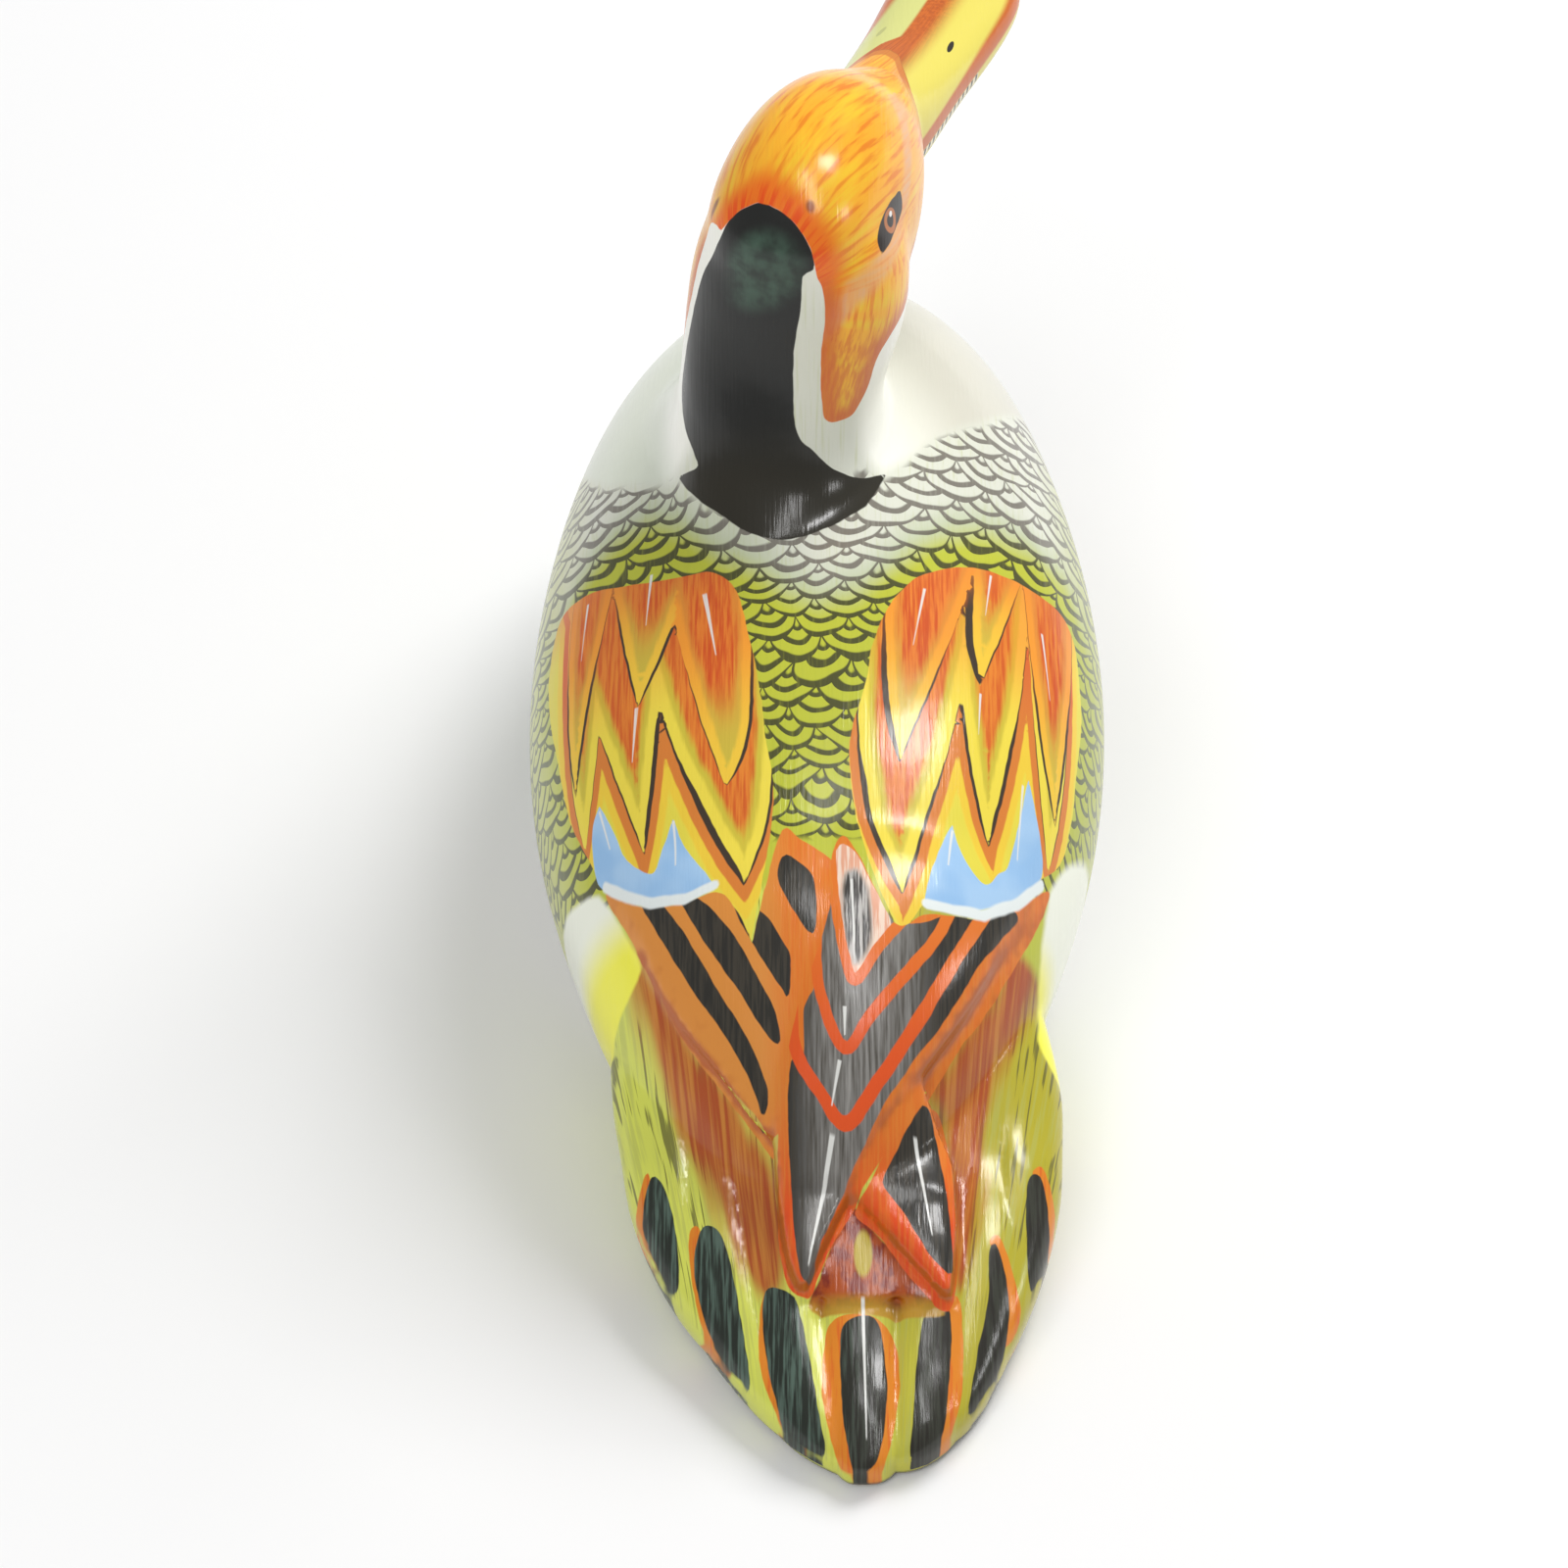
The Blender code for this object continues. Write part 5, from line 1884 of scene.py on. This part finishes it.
def look_at(made, target):
    """Turns a lamp or a camera so that it points at the target."""
    made.rotation_euler = (Vector(target) - made.location).to_track_quat("-Z", "Y").to_euler()


def lamp(name, stands_at, target, width, height, power):
    """A rectangular lamp, with its place and its size in metres and its power in watts."""
    light = bpy.data.lights.new(name, "AREA")
    light.shape = "RECTANGLE"
    light.size, light.size_y, light.energy = width, height, power
    made = bpy.data.objects.new(name, light)
    made.location = stands_at
    look_at(made, target)
    bpy.context.scene.collection.objects.link(made)
    return made


for settings in (
    ("key", (-1.06, -1.32, 1.70), ON_THE_BODY, 1.1, 1.1, 46),
    ("fill", (0.60, 1.20, 1.50), ON_THE_BODY, 1.0, 1.0, 13),
):
    lamp(*settings).visible_glossy = False
for settings in (
    ("glint_on_the_right", (-0.50, -0.06, 1.08), ON_THE_BODY, 0.14, 0.34, 4.2),
    ("glint_along_the_back", (-0.20, 0.33, 1.00), (0, 0.08, 0.05), 0.12, 0.70, 3.0),
    ("glint_on_the_side", (-1.05, 0.25, 0.50), (0, 0, 0.12), 0.15, 0.15, 1.0),
):
    lamp(*settings).visible_diffuse = False
print("lamps:", len(bpy.data.lights))

# %% [markdown]
# ## Camera
#
# The photograph looks down at 45 degrees from straight behind. The bill leaves its top edge. A
# shorter lens would have to come closer, and the body would taper away. The long lens, about
# 100 mm on a full frame, keeps it as broad as it looks in the photograph.

# %% Camera
LOOK_AT = Vector((0.007, 0.027, 0.060))
LOOK_DOWN = math.radians(45)
DISTANCE = 0.9
LENS, FULL_FRAME = 101.25, 36.0
camera_data = bpy.data.cameras.new("camera")
camera_data.sensor_width = FULL_FRAME
camera_data.lens = LENS
camera = bpy.data.objects.new("camera", camera_data)
camera.location = LOOK_AT + Vector((0, math.cos(LOOK_DOWN), math.sin(LOOK_DOWN))) * DISTANCE
look_at(camera, LOOK_AT)
bpy.context.scene.collection.objects.link(camera)
bpy.context.scene.camera = camera
bpy.context.scene.view_settings.view_transform = "Standard"
print("camera", DISTANCE, "m away, lens", LENS, "mm")
